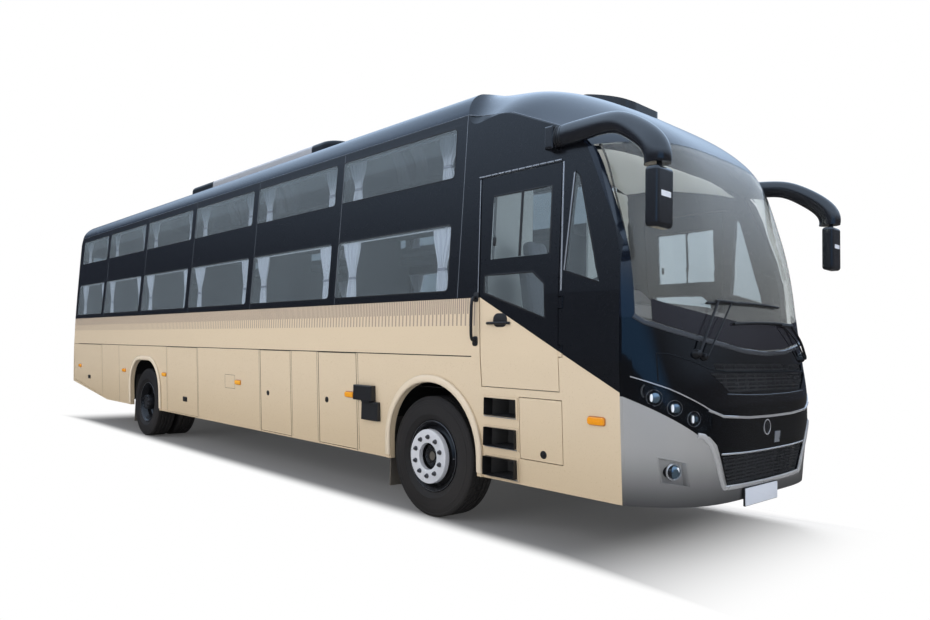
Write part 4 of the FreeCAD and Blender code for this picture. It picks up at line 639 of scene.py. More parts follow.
class Shell:
    # gathers points and faces of one piece before its mesh is made
    def __init__(self):
        self.points = []
        self.faces = []

    def loop(self, points):
        start = len(self.points)
        self.points += points
        return list(range(start, start + len(points)))

    def bridge(self, first, second):
        count = len(first)
        for index in range(count):
            after = (index + 1) % count
            self.faces.append((first[index], first[after], second[after], second[index]))

    def cap(self, ring, flip=False):
        self.faces.append(tuple(reversed(ring)) if flip else tuple(ring))

    def loft(self, rings, turned=False, closed=False):
        # a skin over a row of rings, capped at both ends or closed on itself
        after = rings[1:] + rings[:1] if closed else rings[1:]
        for first, second in zip(rings, after):
            self.bridge(*((second, first) if turned else (first, second)))
        if not closed:
            self.cap(rings[0], flip=True)
            self.cap(rings[-1])

    def make(self, name, material, body=bodyName):
        return piece(name, self.points, self.faces, material, body)


def spread(points, step):
    # the same broken line with points no further apart than a step
    dense = [points[0]]
    for first, second in zip(points, points[1:]):
        count = max(1, math.ceil((Vector(second) - Vector(first)).length / step))
        for index in range(1, count + 1):
            dense.append(tuple(Vector(first).lerp(Vector(second), index / count)))
    return dense


def strip(shell, hits, width, height, sink=0.002):
    # a raised strip with rounded edges along points on a surface, closed at both ends
    rings = []
    for index, (place, normal) in enumerate(hits):
        before = hits[max(index - 1, 0)][0]
        after = hits[min(index + 1, len(hits) - 1)][0]
        along = (after - before).normalized()
        across = along.cross(normal).normalized()
        half = width / 2
        outline = ((-half, -sink), (-half, height * 0.45), (-half * 0.6, height), (half * 0.6, height),
                   (half, height * 0.45), (half, -sink))
        rings.append(shell.loop([place + across * a + normal * b for a, b in outline]))
    shell.loft(rings, turned=True)


def stripAlong(shell, hit, points, width, height, step):
    # a raised strip over a broken line on a skin, in millimetres
    hits = [hit(*point) for point in spread(points, step)]
    strip(shell, [found for found in hits if found[0]], width / 1000, height / 1000)


def noseStrip(shell, points, width, height, step=60.0):
    stripAlong(shell, noseHit, points, width, height, step)


def sideStrip(shell, side, points, width, height, step=150.0):
    stripAlong(shell, lambda x, z: sideHit(side, x, z), points, width, height, step)


# Geometry Nodes: repeated parts
def newTree(name, **sockets):
    tree = bpy.data.node_groups.new(name, "GeometryNodeTree")
    for label, kind in sockets.items():
        tree.interface.new_socket(label, in_out="INPUT", socket_type="NodeSocket" + kind)
    tree.interface.new_socket("Geometry", in_out="OUTPUT", socket_type="NodeSocketGeometry")
    return tree, tree.nodes.new("NodeGroupInput").outputs


def ringRepeatTree():
    # rows of copies of a part set round a wheel's axle, each row turned by half a step
    tree, start = newTree("ringRepeat", Geometry="Geometry", Part="Object", Count="Int", Rows="Int",
                          Radius="Float", Across="Float", RowStep="Float", Start="Float", Material="Material")
    index = tree.nodes.new("GeometryNodeInputIndex").outputs[0]
    row = mathNode(tree, "FLOOR", mathNode(tree, "DIVIDE", mathNode(tree, "ADD", index, 0.5), start["Count"]))
    step = mathNode(tree, "DIVIDE", 2 * math.pi, start["Count"])
    turned = mathNode(tree, "ADD", index, mathNode(tree, "MULTIPLY", row, 0.5))
    angle = mathNode(tree, "ADD", mathNode(tree, "MULTIPLY", turned, step), start["Start"])
    place = tree.nodes.new("ShaderNodeCombineXYZ")
    across = mathNode(tree, "ADD", start["Across"], mathNode(tree, "MULTIPLY", row, start["RowStep"]))
    tree.links.new(across, place.inputs["Y"])
    for axis, operation in (("X", "COSINE"), ("Z", "SINE")):
        reach = mathNode(tree, "MULTIPLY", mathNode(tree, operation, angle), start["Radius"])
        tree.links.new(reach, place.inputs[axis])
    points = tree.nodes.new("GeometryNodePoints")
    tree.links.new(mathNode(tree, "MULTIPLY", start["Count"], start["Rows"]), points.inputs["Count"])
    tree.links.new(place.outputs[0], points.inputs["Position"])
    turn = tree.nodes.new("ShaderNodeCombineXYZ")
    tree.links.new(mathNode(tree, "MULTIPLY", angle, -1.0), turn.inputs["Y"])
    endTree(tree, points.outputs[0], turn.outputs[0], start)
    return tree


def pointRepeatTree():
    # a copy of a part on each point of a mesh, turned by the point's own "turn"
    tree, start = newTree("pointRepeat", Geometry="Geometry", Part="Object", Material="Material")
    turn = tree.nodes.new("GeometryNodeInputNamedAttribute")
    turn.data_type = "FLOAT_VECTOR"
    turn.inputs["Name"].default_value = "turn"
    endTree(tree, start["Geometry"], turn.outputs[0], start)
    return tree


def endTree(tree, points, turn, start):
    part = tree.nodes.new("GeometryNodeObjectInfo")
    tree.links.new(start["Part"], part.inputs["Object"])
    copies = tree.nodes.new("GeometryNodeInstanceOnPoints")
    tree.links.new(points, copies.inputs["Points"])
    tree.links.new(part.outputs["Geometry"], copies.inputs["Instance"])
    tree.links.new(turn, copies.inputs["Rotation"])
    real = tree.nodes.new("GeometryNodeRealizeInstances")
    tree.links.new(copies.outputs[0], real.inputs[0])
    painted = tree.nodes.new("GeometryNodeSetMaterial")
    tree.links.new(real.outputs[0], painted.inputs["Geometry"])
    tree.links.new(start["Material"], painted.inputs["Material"])
    end = tree.nodes.new("NodeGroupOutput")
    tree.links.new(painted.outputs[0], end.inputs[0])


ringRepeat = ringRepeatTree()
pointRepeat = pointRepeatTree()


def repeated(name, tree, values, body, centre=Vector((0, 0, 0)), points=(), turns=()):
    # runs a tree once and keeps its result as a plain mesh that rides on a body
    mesh = plainMesh(name, points, [])
    if points:
        turn = mesh.attributes.new("turn", "FLOAT_VECTOR", "POINT")
        turn.data.foreach_set("vector", [value for each in turns for value in each])
    holder = linked(name + "Holder", mesh)
    modifier = holder.modifiers.new("repeat", "NODES")
    modifier.node_group = tree
    for item in tree.interface.items_tree:
        if item.in_out == "INPUT" and item.name in values:
            modifier[item.identifier] = values[item.name]
    made = evaluatedMesh(holder)
    bpy.data.objects.remove(holder)
    made.name = name
    made.transform(Matrix.Translation(centre))
    thing = linked(name, made)
    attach(thing, body)
    return thing


def partMesh(name, shell):
    # a small part for the trees, kept out of the scene's own collection
    return bpy.data.objects.new(name, plainMesh(name, shell.points, shell.faces))


# Shapes
def frameOf(normal):
    # two directions across a surface: level and rising
    level = Vector((0, 0, 1)).cross(normal)
    level = level.normalized() if level.length > 0.01 else Vector((0, 1, 0))
    return level, normal.cross(level).normalized()


def rounded(width, height, radius, steps=4):
    points = []
    for cx, cy, start in ((1, 1, 0), (-1, 1, 90), (-1, -1, 180), (1, -1, 270)):
        for step in range(steps + 1):
            angle = math.radians(start + 90 * step / steps)
            points.append((cx * (width / 2 - radius) + radius * math.cos(angle),
                           cy * (height / 2 - radius) + radius * math.sin(angle)))
    return points


def pad(shell, place, normal, outline, depth, edge=0.002, sink=0.003, turn=0.0):
    # a raised plate with softened edges, from an outline round a place
    level, rise = frameOf(normal)
    cosine, sine = math.cos(turn), math.sin(turn)
    level, rise = level * cosine + rise * sine, rise * cosine - level * sine
    reach = [max(abs(point[axis]) for point in outline) for axis in (0, 1)]
    rings = []
    for out, trim in ((-sink, 0.0), (depth - edge, 0.0), (depth - edge * 0.3, edge * 0.3), (depth, edge)):
        scale = [1 - trim / side for side in reach]
        rings.append(shell.loop([place + level * a * scale[0] + rise * b * scale[1] + normal * out
                                 for a, b in outline]))
    shell.loft(rings)


def lathe(shell, centre, axis, profile, sides=48, closed=False):
    # profile is (along the axis, radius), from the back over the rim to the front
    across = Vector((0, 0, 1)).cross(axis)
    across = across.normalized() if across.length > 0.01 else Vector((1, 0, 0))
    other = axis.cross(across)
    rings = []
    for along, radius in profile:
        ring = []
        for index in range(sides):
            angle = 2 * math.pi * index / sides
            ring.append(centre + axis * along + (across * math.cos(angle) + other * math.sin(angle)) * radius)
        rings.append(shell.loop(ring))
    shell.loft(rings, closed=closed)


def tube(shell, points, radius, sides=10, flat=1.0):
    # a round or flattened bar along a bent line
    points = [Vector(point) for point in points]
    rings = []
    across = None
    for index, point in enumerate(points):
        along = (points[min(index + 1, len(points) - 1)] - points[max(index - 1, 0)]).normalized()
        if across is None:
            across = frameOf(along)[0]
        across = (across - along * across.dot(along)).normalized()
        other = along.cross(across)
        ring = []
        for side in range(sides):
            angle = 2 * math.pi * side / sides
            ring.append(point + across * radius * math.cos(angle) + other * radius * flat * math.sin(angle))
        rings.append(shell.loop(ring))
    shell.loft(rings)


def curve(points, count):
    # a smooth line through a few points
    points = [Vector(point) for point in points]
    padded = [points[0] * 2 - points[1]] + points + [points[-1] * 2 - points[-2]]
    smooth = []
    for index in range(len(points) - 1):
        a, b, c, d = padded[index:index + 4]
        for step in range(count):
            t = step / count
            smooth.append(0.5 * (2 * b + (c - a) * t + (2 * a - 5 * b + 4 * c - d) * t ** 2
                                 + (3 * b - a - 3 * c + d) * t ** 3))
    smooth.append(points[-1])
    return smooth


# Wheels
wheelLook = {"radius": 0.522, "width": 0.298, "outerY": 1.240, "twinStep": 0.335, "blockCount": 72, "rows": 5,
             "blockSize": (0.016, 0.041, 0.0435), "blockSink": 0.001, "firstRow": 0.051, "rowStep": 0.049,
             "grooveRadius": 0.5055, "nutCircle": 0.1675, "nutCount": 10, "sides": 144,
             "axleXs": {"front": 0, "rear": -6850},
             "ringFace": {"front": 0.026, "rear": -0.178}, "ringDeep": {"front": 0.042, "rear": 0.024},
             "ringPaint": {"front": "nutRing", "rear": "rimPaint"}, "boltCount": 8,
             "boltCircle": {"front": 0.072, "rear": 0.088}, "boltInset": {"front": 0.042, "rear": 0.0145}}
hubProfiles = {"front": ((-0.070, 0.086), (-0.046, 0.086), (-0.042, 0.082), (-0.042, 0.060), (-0.036, 0.056),
                         (-0.032, 0.040)),
               "rear": ((-0.200, 0.112), (-0.020, 0.108), (-0.014, 0.100), (-0.014, 0.070), (-0.010, 0.066))}
wheelBodies = {("front", -1): "front_wheel_right", ("front", 1): "front_wheel_left",
               ("rear", -1): "rear_wheels_right", ("rear", 1): "rear_wheels_left"}
# Half of the tyre's outline: inset from the outer face and radius, from the bead to the tread
sidewall = ((0.052, 0.289), (0.046, 0.296), (0.0455, 0.306), (0.039, 0.310), (0.031, 0.317), (0.022, 0.330),
            (0.0215, 0.333), (0.018, 0.339), (0.012, 0.352), (0.0085, 0.360), (0.0062, 0.3605),
            (0.0052, 0.366), (0.0060, 0.371), (0.0050, 0.385), (0.0048, 0.410), (0.0062, 0.432),
            (0.0092, 0.449), (0.0088, 0.4505), (0.0098, 0.456), (0.0122, 0.4575), (0.0140, 0.472),
            (0.0175, 0.488), (0.0185, 0.4905), (0.0160, 0.494), (0.0185, 0.504), (0.0240, 0.513),
            (0.0290, 0.5165), (0.0300, 0.5100), (0.0310, 0.5055))


def tyreProfile():
    inner = [(wheelLook["width"] - inset, radius) for inset, radius in sidewall]
    lining = [(0.060, 0.300), (0.045, 0.370), (0.055, 0.450), (0.243, 0.450), (0.253, 0.370), (0.238, 0.300)]
    return inner + list(reversed(sidewall)) + lining


def treadBlock():
    # one tread block with softened top edges: X outwards, Y across, Z along
    deep, wide, long = wheelLook["blockSize"]
    shell = Shell()
    rings = []
    corners = ((-1, -1), (1, -1), (1, 1), (-1, 1))
    for out, trim in ((0.0, 0.0), (deep - 0.0015, 0.0), (deep, 0.0015)):
        halfWide, halfLong = wide / 2 - trim, long / 2 - trim
        rings.append(shell.loop([Vector((out, a * halfWide, b * halfLong)) for a, b in corners]))
    shell.loft(rings)
    return partMesh("treadBlock", shell)


def wheelNut(side):
    # a flanged hexagon nut with the stud's end, along the wheel's axle
    shell = Shell()
    middle, out = Vector((0, 0, 0)), Vector((0, side, 0))
    lathe(shell, middle, out, ((0.0, 0.021), (0.004, 0.021), (0.006, 0.018), (0.006, 0.012)), 18)
    lathe(shell, middle, out, ((0.004, 0.0165), (0.019, 0.0165), (0.021, 0.0145), (0.021, 0.010)), 6)
    lathe(shell, middle, out, ((0.015, 0.0095), (0.027, 0.0095), (0.028, 0.0080)), 12)
    return partMesh("wheelNut", shell)


def buildTyre(name, node, body, side, outerY, x, block):
    look = wheelLook
    hub = Vector((at(x, 0, 0).x, side * outerY, look["radius"]))
    shell = Shell()
    profile = [(-inset, radius) for inset, radius in tyreProfile()]
    lathe(shell, hub, Vector((0, side, 0)), profile, look["sides"], closed=True)
    tyre = shell.make(name, "tyreRubber", body)
    tread = repeated(name + "Tread", ringRepeat, {
        "Part": block, "Count": look["blockCount"], "Rows": look["rows"],
        "Radius": look["grooveRadius"] - look["blockSink"], "Across": -side * look["firstRow"],
        "RowStep": -side * look["rowStep"], "Start": 0.0, "Material": materials["tyreRubber"]}, body, hub)
    for thing in (tyre, tread):
        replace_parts(thing, node)


def buildTyres():
    block = treadBlock()
    look = wheelLook
    twins = (("tyreRearOuter", "tyres_rear_", 0.0), ("tyreRearInner", "tyres_rear_", look["twinStep"]))
    for axle, tyres in (("front", (("tyreFront", "tyre_front_", 0.0),)), ("rear", twins)):
        for side, hand in sides:
            for name, node, inset in tyres:
                buildTyre(name + hand.capitalize(), node + hand, wheelBodies[axle, side], side,
                          look["outerY"] - inset, look["axleXs"][axle], block)


def boltRing(name, part, count, radius, across, start, material, body, hub):
    repeated(name, ringRepeat, {"Part": part, "Count": count, "Rows": 1, "Radius": radius, "Across": across,
                                "RowStep": 0.0, "Start": start, "Material": materials[material]}, body, hub)


def turnedPiece(name, hub, side, profile, count, closed, material, body):
    shell = Shell()
    lathe(shell, hub, Vector((0, side, 0)), profile, count, closed)
    shell.make(name, material, body)


def hubParts(place, side, hand):
    # the bright ring with its nuts, the rim's bright edge and the hub in its middle
    look = wheelLook
    hub = Vector((at(look["axleXs"][place], 0, 0).x, side * look["outerY"], look["radius"]))
    body = wheelBodies[place, side]
    name = place.capitalize() + hand.capitalize()
    face = look["ringFace"][place]
    foot = face - look["ringDeep"][place]
    ring = ((foot, 0.2350), (face - 0.005, 0.2330), (face - 0.001, 0.2310), (face, 0.2280), (face, 0.1200),
            (face - 0.002, 0.1165), (foot, 0.1165))
    turnedPiece("nutRing" + name, hub, side, ring, 96, True, look["ringPaint"][place], body)
    nut = wheelNut(side)
    boltRing("wheelNuts" + name, nut, look["nutCount"], look["nutCircle"], side * (face - 0.0005),
             math.radians(18), "nutSteel", body, hub)
    edge = ((-0.0330, 0.3043), (-0.0290, 0.3043), (-0.0280, 0.3030), (-0.0285, 0.3005), (-0.0330, 0.3000))
    turnedPiece("rimEdge" + name, hub, side, edge, 120, True, "rimEdge", body)
    turnedPiece("hubCover" + name, hub, side, hubProfiles[place], 48, False, "hubBlack", body)
    boltRing("hubBolts" + name, nut, look["boltCount"], look["boltCircle"][place],
             -side * look["boltInset"][place], 0.2, "hubBlack", body, hub)
    valve = Shell()
    bends = ((0.262, 0.085), (0.258, 0.060), (0.250, 0.045))
    tube(valve, [hub + Vector((reach, -side * inset, 0.0)) for reach, inset in bends], 0.004, 8)
    valve.make("valveStem" + name, "brightTrim", body)


def buildWheels():
    buildTyres()
    for place in ("front", "rear"):
        for side, hand in sides:
            hubParts(place, side, hand)


# Seams of the side panels and the bright and dark strips of the nose
seamLook = {"bayX": 369, "bayPitch": 1866, "bayZ": (1886, 3460), "gutter": ((-10700, 3468), (373, 3468)),
            "brow": ((373, 3468), (900, 3374), (1420, 3146)), "waist": ((-10700, 1402), (555, 1402)),
            "panelXs": (-8050, -5925, -4863, -3056, -2357, -1775, -1082), "panelZ": (445, 1396),
            "besideFlap": 8.5}


def flapSeams(shell, side, hand):
    # a dark line on the wall beside the upright gaps of each flap: painted shade and dirt of the gap
    away = seamLook["besideFlap"]
    for bay in flapBays:
        low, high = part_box("flap_" + hand + "_" + str(bay))
        for x in ((low[0] - axleX) * 1000 - away, (high[0] - axleX) * 1000 + away):
            sideStrip(shell, side, [(x, low[2] * 1000), (x, high[2] * 1000)], 5, 0.6)


def buildSeams():
    look = seamLook
    pale = Shell()
    dark = Shell()
    for side, hand in sides:
        flapSeams(dark, side, hand)
        for bay in range(6):
            x = look["bayX"] - look["bayPitch"] * bay
            sideStrip(pale, side, [(x, z) for z in look["bayZ"]], 7, 1.5)
        sideStrip(pale, side, look["gutter"], 6, 1.5, 400)
        sideStrip(pale, side, look["brow"], 7, 1.5)
        sideStrip(dark, side, look["waist"], 9, 1.0, 400)
        for x in look["panelXs"]:
            sideStrip(dark, side, [(x, z) for z in look["panelZ"]], 5, 0.8)
    pale.make("panelSeamsPale", "seamPale")
    dark.make("panelSeamsDark", "seamDark")


# The right half of each line on the nose, in millimetres of y and z
noseLines = {
    "cowl": ((-1245, 1712), (-1193, 1670), (-1057, 1621), (-904, 1581), (-723, 1545), (-354, 1492),
             (0, 1476)),
    "middleStrip": ((-830, 1085), (-692, 1041), (-350, 1020), (0, 1016)),
    "lowStrip": ((-690, 782), (-350, 772), (0, 769)),
    "lampStrip": ((-1262, 1303), (-1080, 1225), (-768, 1062)),
    "servicePanel": ((-1138, 1273), (-1139, 1461), (-1080, 1462), (-925, 1414), (-790, 1364), (-600, 1345),
                     (0, 1341)),
    "bumperEdge": ((-915, 918), (-868, 910), (-806, 860), (-722, 723), (-648, 575), (-622, 545)),
    "bumperSill": ((-622, 545), (-300, 536), (0, 533)), "grilleLip": ((-640, 1188), (-330, 1176), (0, 1172))}


def wholeLine(name):
    # the right half and its mirror image
    half = list(noseLines[name])
    return half + [(-y, z) for y, z in reversed(half[:-1])]


def twoHalves(shell, name, width, height, step=60.0):
    # the same strip on either side, apart from each other
    for flip in (1, -1):
        noseStrip(shell, [(flip * y, z) for y, z in noseLines[name]], width, height, step)


def buildNoseTrim():
    cowl = Shell()
    noseStrip(cowl, wholeLine("cowl"), 34, 14)
    # the moulding's paler grey is a painted highlight
    cowl.make("cowlMoulding", "cowlPaleHighlightTrim")
    chrome = Shell()
    noseStrip(chrome, wholeLine("middleStrip"), 18, 8)
    noseStrip(chrome, wholeLine("lowStrip"), 14, 6)
    twoHalves(chrome, "lampStrip", 9, 5)
    chrome.make("noseBrightStrips", "brightTrim")
    panel = Shell()
    twoHalves(panel, "servicePanel", 9, 1.2)
    panel.make("servicePanelSeam", "seamBlack")


def ridge(shell, rows):
    # a thin closed skin from rows of front points and rows of back points
    fronts = [shell.loop([front for front, back in row]) for row in rows]
    backs = [shell.loop([back for front, back in row]) for row in rows]
    for low, high, lowBack, highBack in zip(fronts, fronts[1:], backs, backs[1:]):
        for index in range(len(low) - 1):
            shell.faces.append((low[index], low[index + 1], high[index + 1], high[index]))
            shell.faces.append((lowBack[index + 1], lowBack[index], highBack[index], highBack[index + 1]))
    rims = [(fronts[0], backs[0], 1), (fronts[-1], backs[-1], -1)]
    for column, turn in ((0, -1), (-1, 1)):
        rims.append(([row[column] for row in fronts], [row[column] for row in backs], turn))
    for front, back, turn in rims:
        for index in range(len(front) - 1):
            shell.faces.append((front[index], back[index], back[index + 1], front[index + 1])[::turn])


def noseRows(rows, lift, thick):
    # rows of y and z on the nose skin, lifted off it, from below upwards and from right to left
    made = []
    for row in rows:
        hits = [hit for hit in [noseHit(y, z) for y, z in row] if hit[0]]
        made.append([(place + normal * lift, place + normal * (lift - thick)) for place, normal in hits])
    least = min(len(points) for points in made)
    return [points[:least] for points in made]


# Grilles: a fine wire net behind each opening, and black behind that
grilleLook = {"outlines": (((738, 1402), (720, 1350)), ((787, 1334), (607, 1203)), ((675, 760), (585, 562))),
              "pitch": (23.0, 20.0), "wire": 0.0022, "ring": 0.0105, "behind": 0.011, "backing": 0.075,
              "skin": 12}


def grilleCell():
    # one six-sided ring of wire
    look = grilleLook
    shell = Shell()
    rings = []
    angles = [math.radians(60 * step + 30) for step in range(6)]
    for out, trim in ((0.0, 0.0), (0.002, 0.0), (0.002, 1.0), (0.0, 1.0)):
        radius = look["ring"] - look["wire"] * trim
        rings.append(shell.loop([Vector((out, radius * math.cos(angle), radius * math.sin(angle)))
                                 for angle in angles]))
    shell.loft(rings, closed=True)
    return partMesh("grilleCell", shell)


def openingPoint(y, z, low, high, margin):
    # a point on the skin that would close an opening between two heights
    lowPlace, lowNormal = noseHit(y, low - margin)
    highPlace, highNormal = noseHit(y, high + margin)
    share = (z - low + margin) / (high - low + 2 * margin)
    return between(lowPlace, highPlace, share), (lowNormal + highNormal).normalized()


def buildGrilles():
    look = grilleLook
    cell = grilleCell()
    across, up = look["pitch"]
    points = []
    turns = []
    backing = Shell()
    for (topHalf, top), (footHalf, foot) in look["outlines"]:
        rows = int((top - foot) / up)
        for row in range(rows + 1):
            z = foot + 6 + (top - foot - 12) * row / max(rows, 1)
            half = footHalf + (topHalf - footHalf) * (z - foot) / (top - foot) - 14
            count = int(half / across)
            shift = across / 2 if row % 2 else 0.0
            for column in range(-count, count + 1):
                y = column * across + shift
                if abs(y) > half:
                    continue
                place, normal = openingPoint(y, z, foot, top, look["skin"])
                points.append(place - normal * look["behind"])
                turns.append((0.0, -math.asin(max(-1.0, min(1.0, normal.z))), math.atan2(normal.y, normal.x)))
        sheets = []
        for z, half in ((foot - 8, footHalf + 8), (top + 8, topHalf + 8)):
            row = []
            for step in range(17):
                y = -half + 2 * half * step / 16
                place, normal = openingPoint(y, min(max(z, foot), top), foot, top, look["skin"])
                place = Vector((place.x - look["backing"], place.y, z / 1000))
                row.append((place, place - Vector((0.004, 0, 0))))
            sheets.append(row)
        ridge(backing, sheets)
    repeated("grilleNet", pointRepeat, {"Part": cell, "Material": materials["meshBlack"]}, bodyName,
             points=points, turns=turns)
    backing.make("grilleBacking", "netBlack")
    print("grille cells:", len(points))


# Headlamps and fog lamps
lampLook = {"lenses": ((1125, 1163), (1021, 1097), (902, 1026)), "radius": 0.054, "sink": 0.059,
            "plate": 0.028, "fog": (1029, 674),
            "fogOutline": ((1127, 767), (977, 734), (944, 579), (1098, 608)),
            "fogMiddle": (1035, 672), "fogGrow": 1.09, "fogFacing": (0.90, 0.44), "bandY": (800, 905, 1225),
            "bandTop": (1060, 1285), "bandFoot": (960, 940, 1155), "skin": 14, "coverY": (803, 1222),
            "marker": (1196, 1205, 16, 42)}


def bandHeights(y):
    # foot and top of the lamp band at a distance from the centre line
    inner, corner, outer = lampLook["bandY"]
    low, middle, high = lampLook["bandFoot"]
    top = between(*lampLook["bandTop"], (y - inner) / (outer - inner))
    if y < corner:
        return between(low, middle, (y - inner) / (corner - inner)), top
    return between(middle, high, (y - corner) / (outer - corner)), top


def bandPoint(side, y, z):
    foot, top = bandHeights(y)
    return openingPoint(side * y, z, foot, top, lampLook["skin"])


def coverRows(side):
    # the smoothed skin of the clear cover over the lamp band
    rows = []
    for share in (0.0, 0.33, 0.66, 1.0):
        row = []
        for step in range(25):
            y = between(*lampLook["coverY"], step / 24)
            foot, top = bandHeights(y)
            row.append(bandPoint(side, y, between(foot + 3, top - 3, share))[0])
        for smoothing in range(4):
            middle = [(a + b * 2 + c) / 4 for a, b, c in zip(row, row[1:], row[2:])]
            row = [row[0]] + middle + [row[-1]]
        rows.append(row if side > 0 else row[::-1])
    back = Vector((0.55, side * 0.83, 0)) * 0.002
    return [[(place, place - back) for place in row] for row in rows]


def projector(side, y, z, rings, domes, glints):
    # one projector lamp: bright ring, bulging lens, and a slim white pad on the lens that is a painted
    # highlight
    look = lampLook
    place, normal = bandPoint(side, y, z)
    centre = place - Vector((look["sink"], 0, 0))
    cut = look["plate"] * normal.x
    edge = math.sqrt(look["radius"] ** 2 - cut ** 2)
    lathe(rings, centre, normal, ((cut - 0.004, edge + 0.007), (cut + 0.003, edge + 0.006),
                                  (cut + 0.005, edge + 0.004), (cut + 0.003, edge + 0.001),
                                  (cut - 0.004, edge - 0.001)), 40)
    angles = [math.radians(angle) for angle in (38, 32, 24, 16, 8, 2)]
    dome = [(look["radius"] * math.cos(angle) + 0.0012, look["radius"] * math.sin(angle)) for angle in angles]
    lathe(domes, centre, normal, [(cut - 0.002, edge * 0.8)] + dome, 32)
    level, rise = frameOf(normal)
    slim = [(a * 0.30, b * 0.85) for a, b in rounded(0.062, 0.062, 0.030, 6)]
    pad(glints, centre + level * side * 0.026 + normal * (look["radius"] * 0.80), normal, slim, 0.012, 0.004)


def fogLamp(side, rings, domes, glints, bezel):
    look = lampLook
    place, normal = noseHit(side * look["fog"][0], look["fog"][1])
    ahead, aside = look["fogFacing"]
    facing = Vector((ahead, side * aside, 0)).normalized()
    frame = ((0.0, 0.060), (0.010, 0.058), (0.013, 0.054), (0.008, 0.050))
    lathe(rings, place - facing * 0.010, facing, frame, 40)
    lens = ((0.0, 0.049), (0.010, 0.046), (0.020, 0.036), (0.026, 0.022), (0.028, 0.006))
    lathe(domes, place - facing * 0.006, facing, lens, 32)
    level, rise = frameOf(facing)
    # a white pad on the fog lamp's lens: a painted highlight
    slim = [(a * 0.42, b * 0.85) for a, b in rounded(0.050, 0.050, 0.024, 6)]
    pad(glints, place + facing * 0.012 - level * side * 0.016 + rise * 0.012, facing, slim, 0.008, 0.003)
    middleY, middleZ = look["fogMiddle"]
    wide = [(side * (middleY + (y - middleY) * look["fogGrow"]), middleZ + (z - middleZ) * look["fogGrow"])
            for y, z in look["fogOutline"]]
    noseStrip(bezel, wide + wide[:1], 6, 3, 40)


def buildHeadlamps():
    rings, domes, glints, bezel, cover = [Shell() for part in range(5)]
    for side, hand in sides:
        for y, z in lampLook["lenses"]:
            projector(side, y, z, rings, domes, glints)
        fogLamp(side, rings, domes, glints, bezel)
        ridge(cover, coverRows(side))
    rings.make("lampRings", "brightTrim")
    domes.make("lampLenses", "lampLens")
    # the white pads on the lenses are painted highlights
    glints.make("lampReflectors", "lampHighlightWhite")
    bezel.make("fogLampFrames", "bumperSilver")
    cover.make("headlampCovers", "lampCover")


def buildCornerLamps():
    # the curved marker lamp at the outer end of each lamp band
    shell = Shell()
    middleY, middleZ, wide, tall = lampLook["marker"]
    for side, hand in sides:
        points = []
        for step in range(13):
            angle = math.radians(-70 + 150 * step / 12)
            y, z = middleY + wide * math.cos(angle), middleZ + tall * math.sin(angle)
            place, normal = bandPoint(side, y, z)
            points.append(place - normal * 0.016)
        tube(shell, points, 0.006, 8)
    shell.make("cornerMarkers", "markerGrey")


# Windscreen edge, wipers, plate and the small fittings of the nose
screenLook = {"half": 1190, "foot": 26, "top": 175, "topMiddle": 225}


def buildScreenBand():
    # the black band baked on the glass above the cowl
    look = screenLook
    arc = [(y, z) for y, z in spread(wholeLine("cowl"), 70) if abs(y) < look["half"]]
    rows = []
    for step in range(8):
        reaches = [between(look["top"], look["topMiddle"], 1 - abs(y) / look["half"]) for y, z in arc]
        rows.append([(y, z + between(look["foot"], reach, step / 7)) for (y, z), reach in zip(arc, reaches)])
    shell = Shell()
    ridge(shell, noseRows(rows, 0.0016, 0.0010))
    shell.make("windscreenBand", "screenBlack")


# Each wiper: foot, arm tips' middle, and both ends of the blade
wiperLook = {"lines": (((-880, 1462), (-545, 1835), (-742, 1815), (340, 1842)),
                       ((803, 1455), (430, 1700), (-443, 1682), (590, 1712))),
             "armOff": 0.030, "bladeOff": 0.016, "parallel": 62, "apart": 85, "bow": 12}


def buildWipers():
    look = wiperLook
    metal = Shell()
    rubber = Shell()
    for (footY, footZ), (tipY, tipZ), bladeStart, bladeEnd in look["lines"]:
        inward = 1 if footY < 0 else -1
        foot, footNormal = noseHit(footY, footZ)
        second, secondNormal = noseHit(footY + inward * look["parallel"], footZ - 18)
        lathe(metal, foot, footNormal, ((-0.004, 0.036), (0.010, 0.034), (0.022, 0.026), (0.040, 0.022),
                                        (0.044, 0.014)), 24)
        lathe(metal, second, secondNormal, ((-0.004, 0.028), (0.012, 0.026), (0.030, 0.017),
                                            (0.033, 0.010)), 20)
        for start, startNormal, sense, radius in ((foot, footNormal, -1, 0.011),
                                                  (second, secondNormal, 1, 0.007)):
            shiftY = sense * inward * look["apart"]
            end, endNormal = noseHit(tipY + shiftY, tipZ)
            middle, middleNormal = noseHit((footY + tipY) / 2 + shiftY * 0.7, (footZ + tipZ) / 2)
            line = curve([start + startNormal * 0.036, middle + middleNormal * look["armOff"] * 1.3,
                          end + endNormal * look["armOff"]], 8)
            tube(metal, line, radius, 10, 0.7)
        crown = [noseHit(tipY + offset, tipZ) for offset in (-110, 0, 110)]
        tube(metal, [place + normal * 0.028 for place, normal in crown], 0.010, 10)
        hits = []
        back = []
        for step in range(25):
            share = step / 24
            swell = 4 * share * (1 - share)
            place, normal = noseHit(between(bladeStart[0], bladeEnd[0], share),
                                    between(bladeStart[1], bladeEnd[1], share) + look["bow"] * swell)
            hits.append((place, normal))
            back.append(place + normal * (look["bladeOff"] + 0.006 * swell))
        tube(metal, back, 0.0095, 8)
        strip(rubber, hits, 0.007, look["bladeOff"], 0.0)
    for thing in (metal.make("wiperArms", "blackTrim"), rubber.make("wiperRubbers", "mudRubber")):
        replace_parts(thing, "wipers")


fittingPlaces = {"plate": (2424, -115, 458), "plateSize": (0.520, 0.122), "roundel": (-60, 938),
                 "tag": (126, 855)}


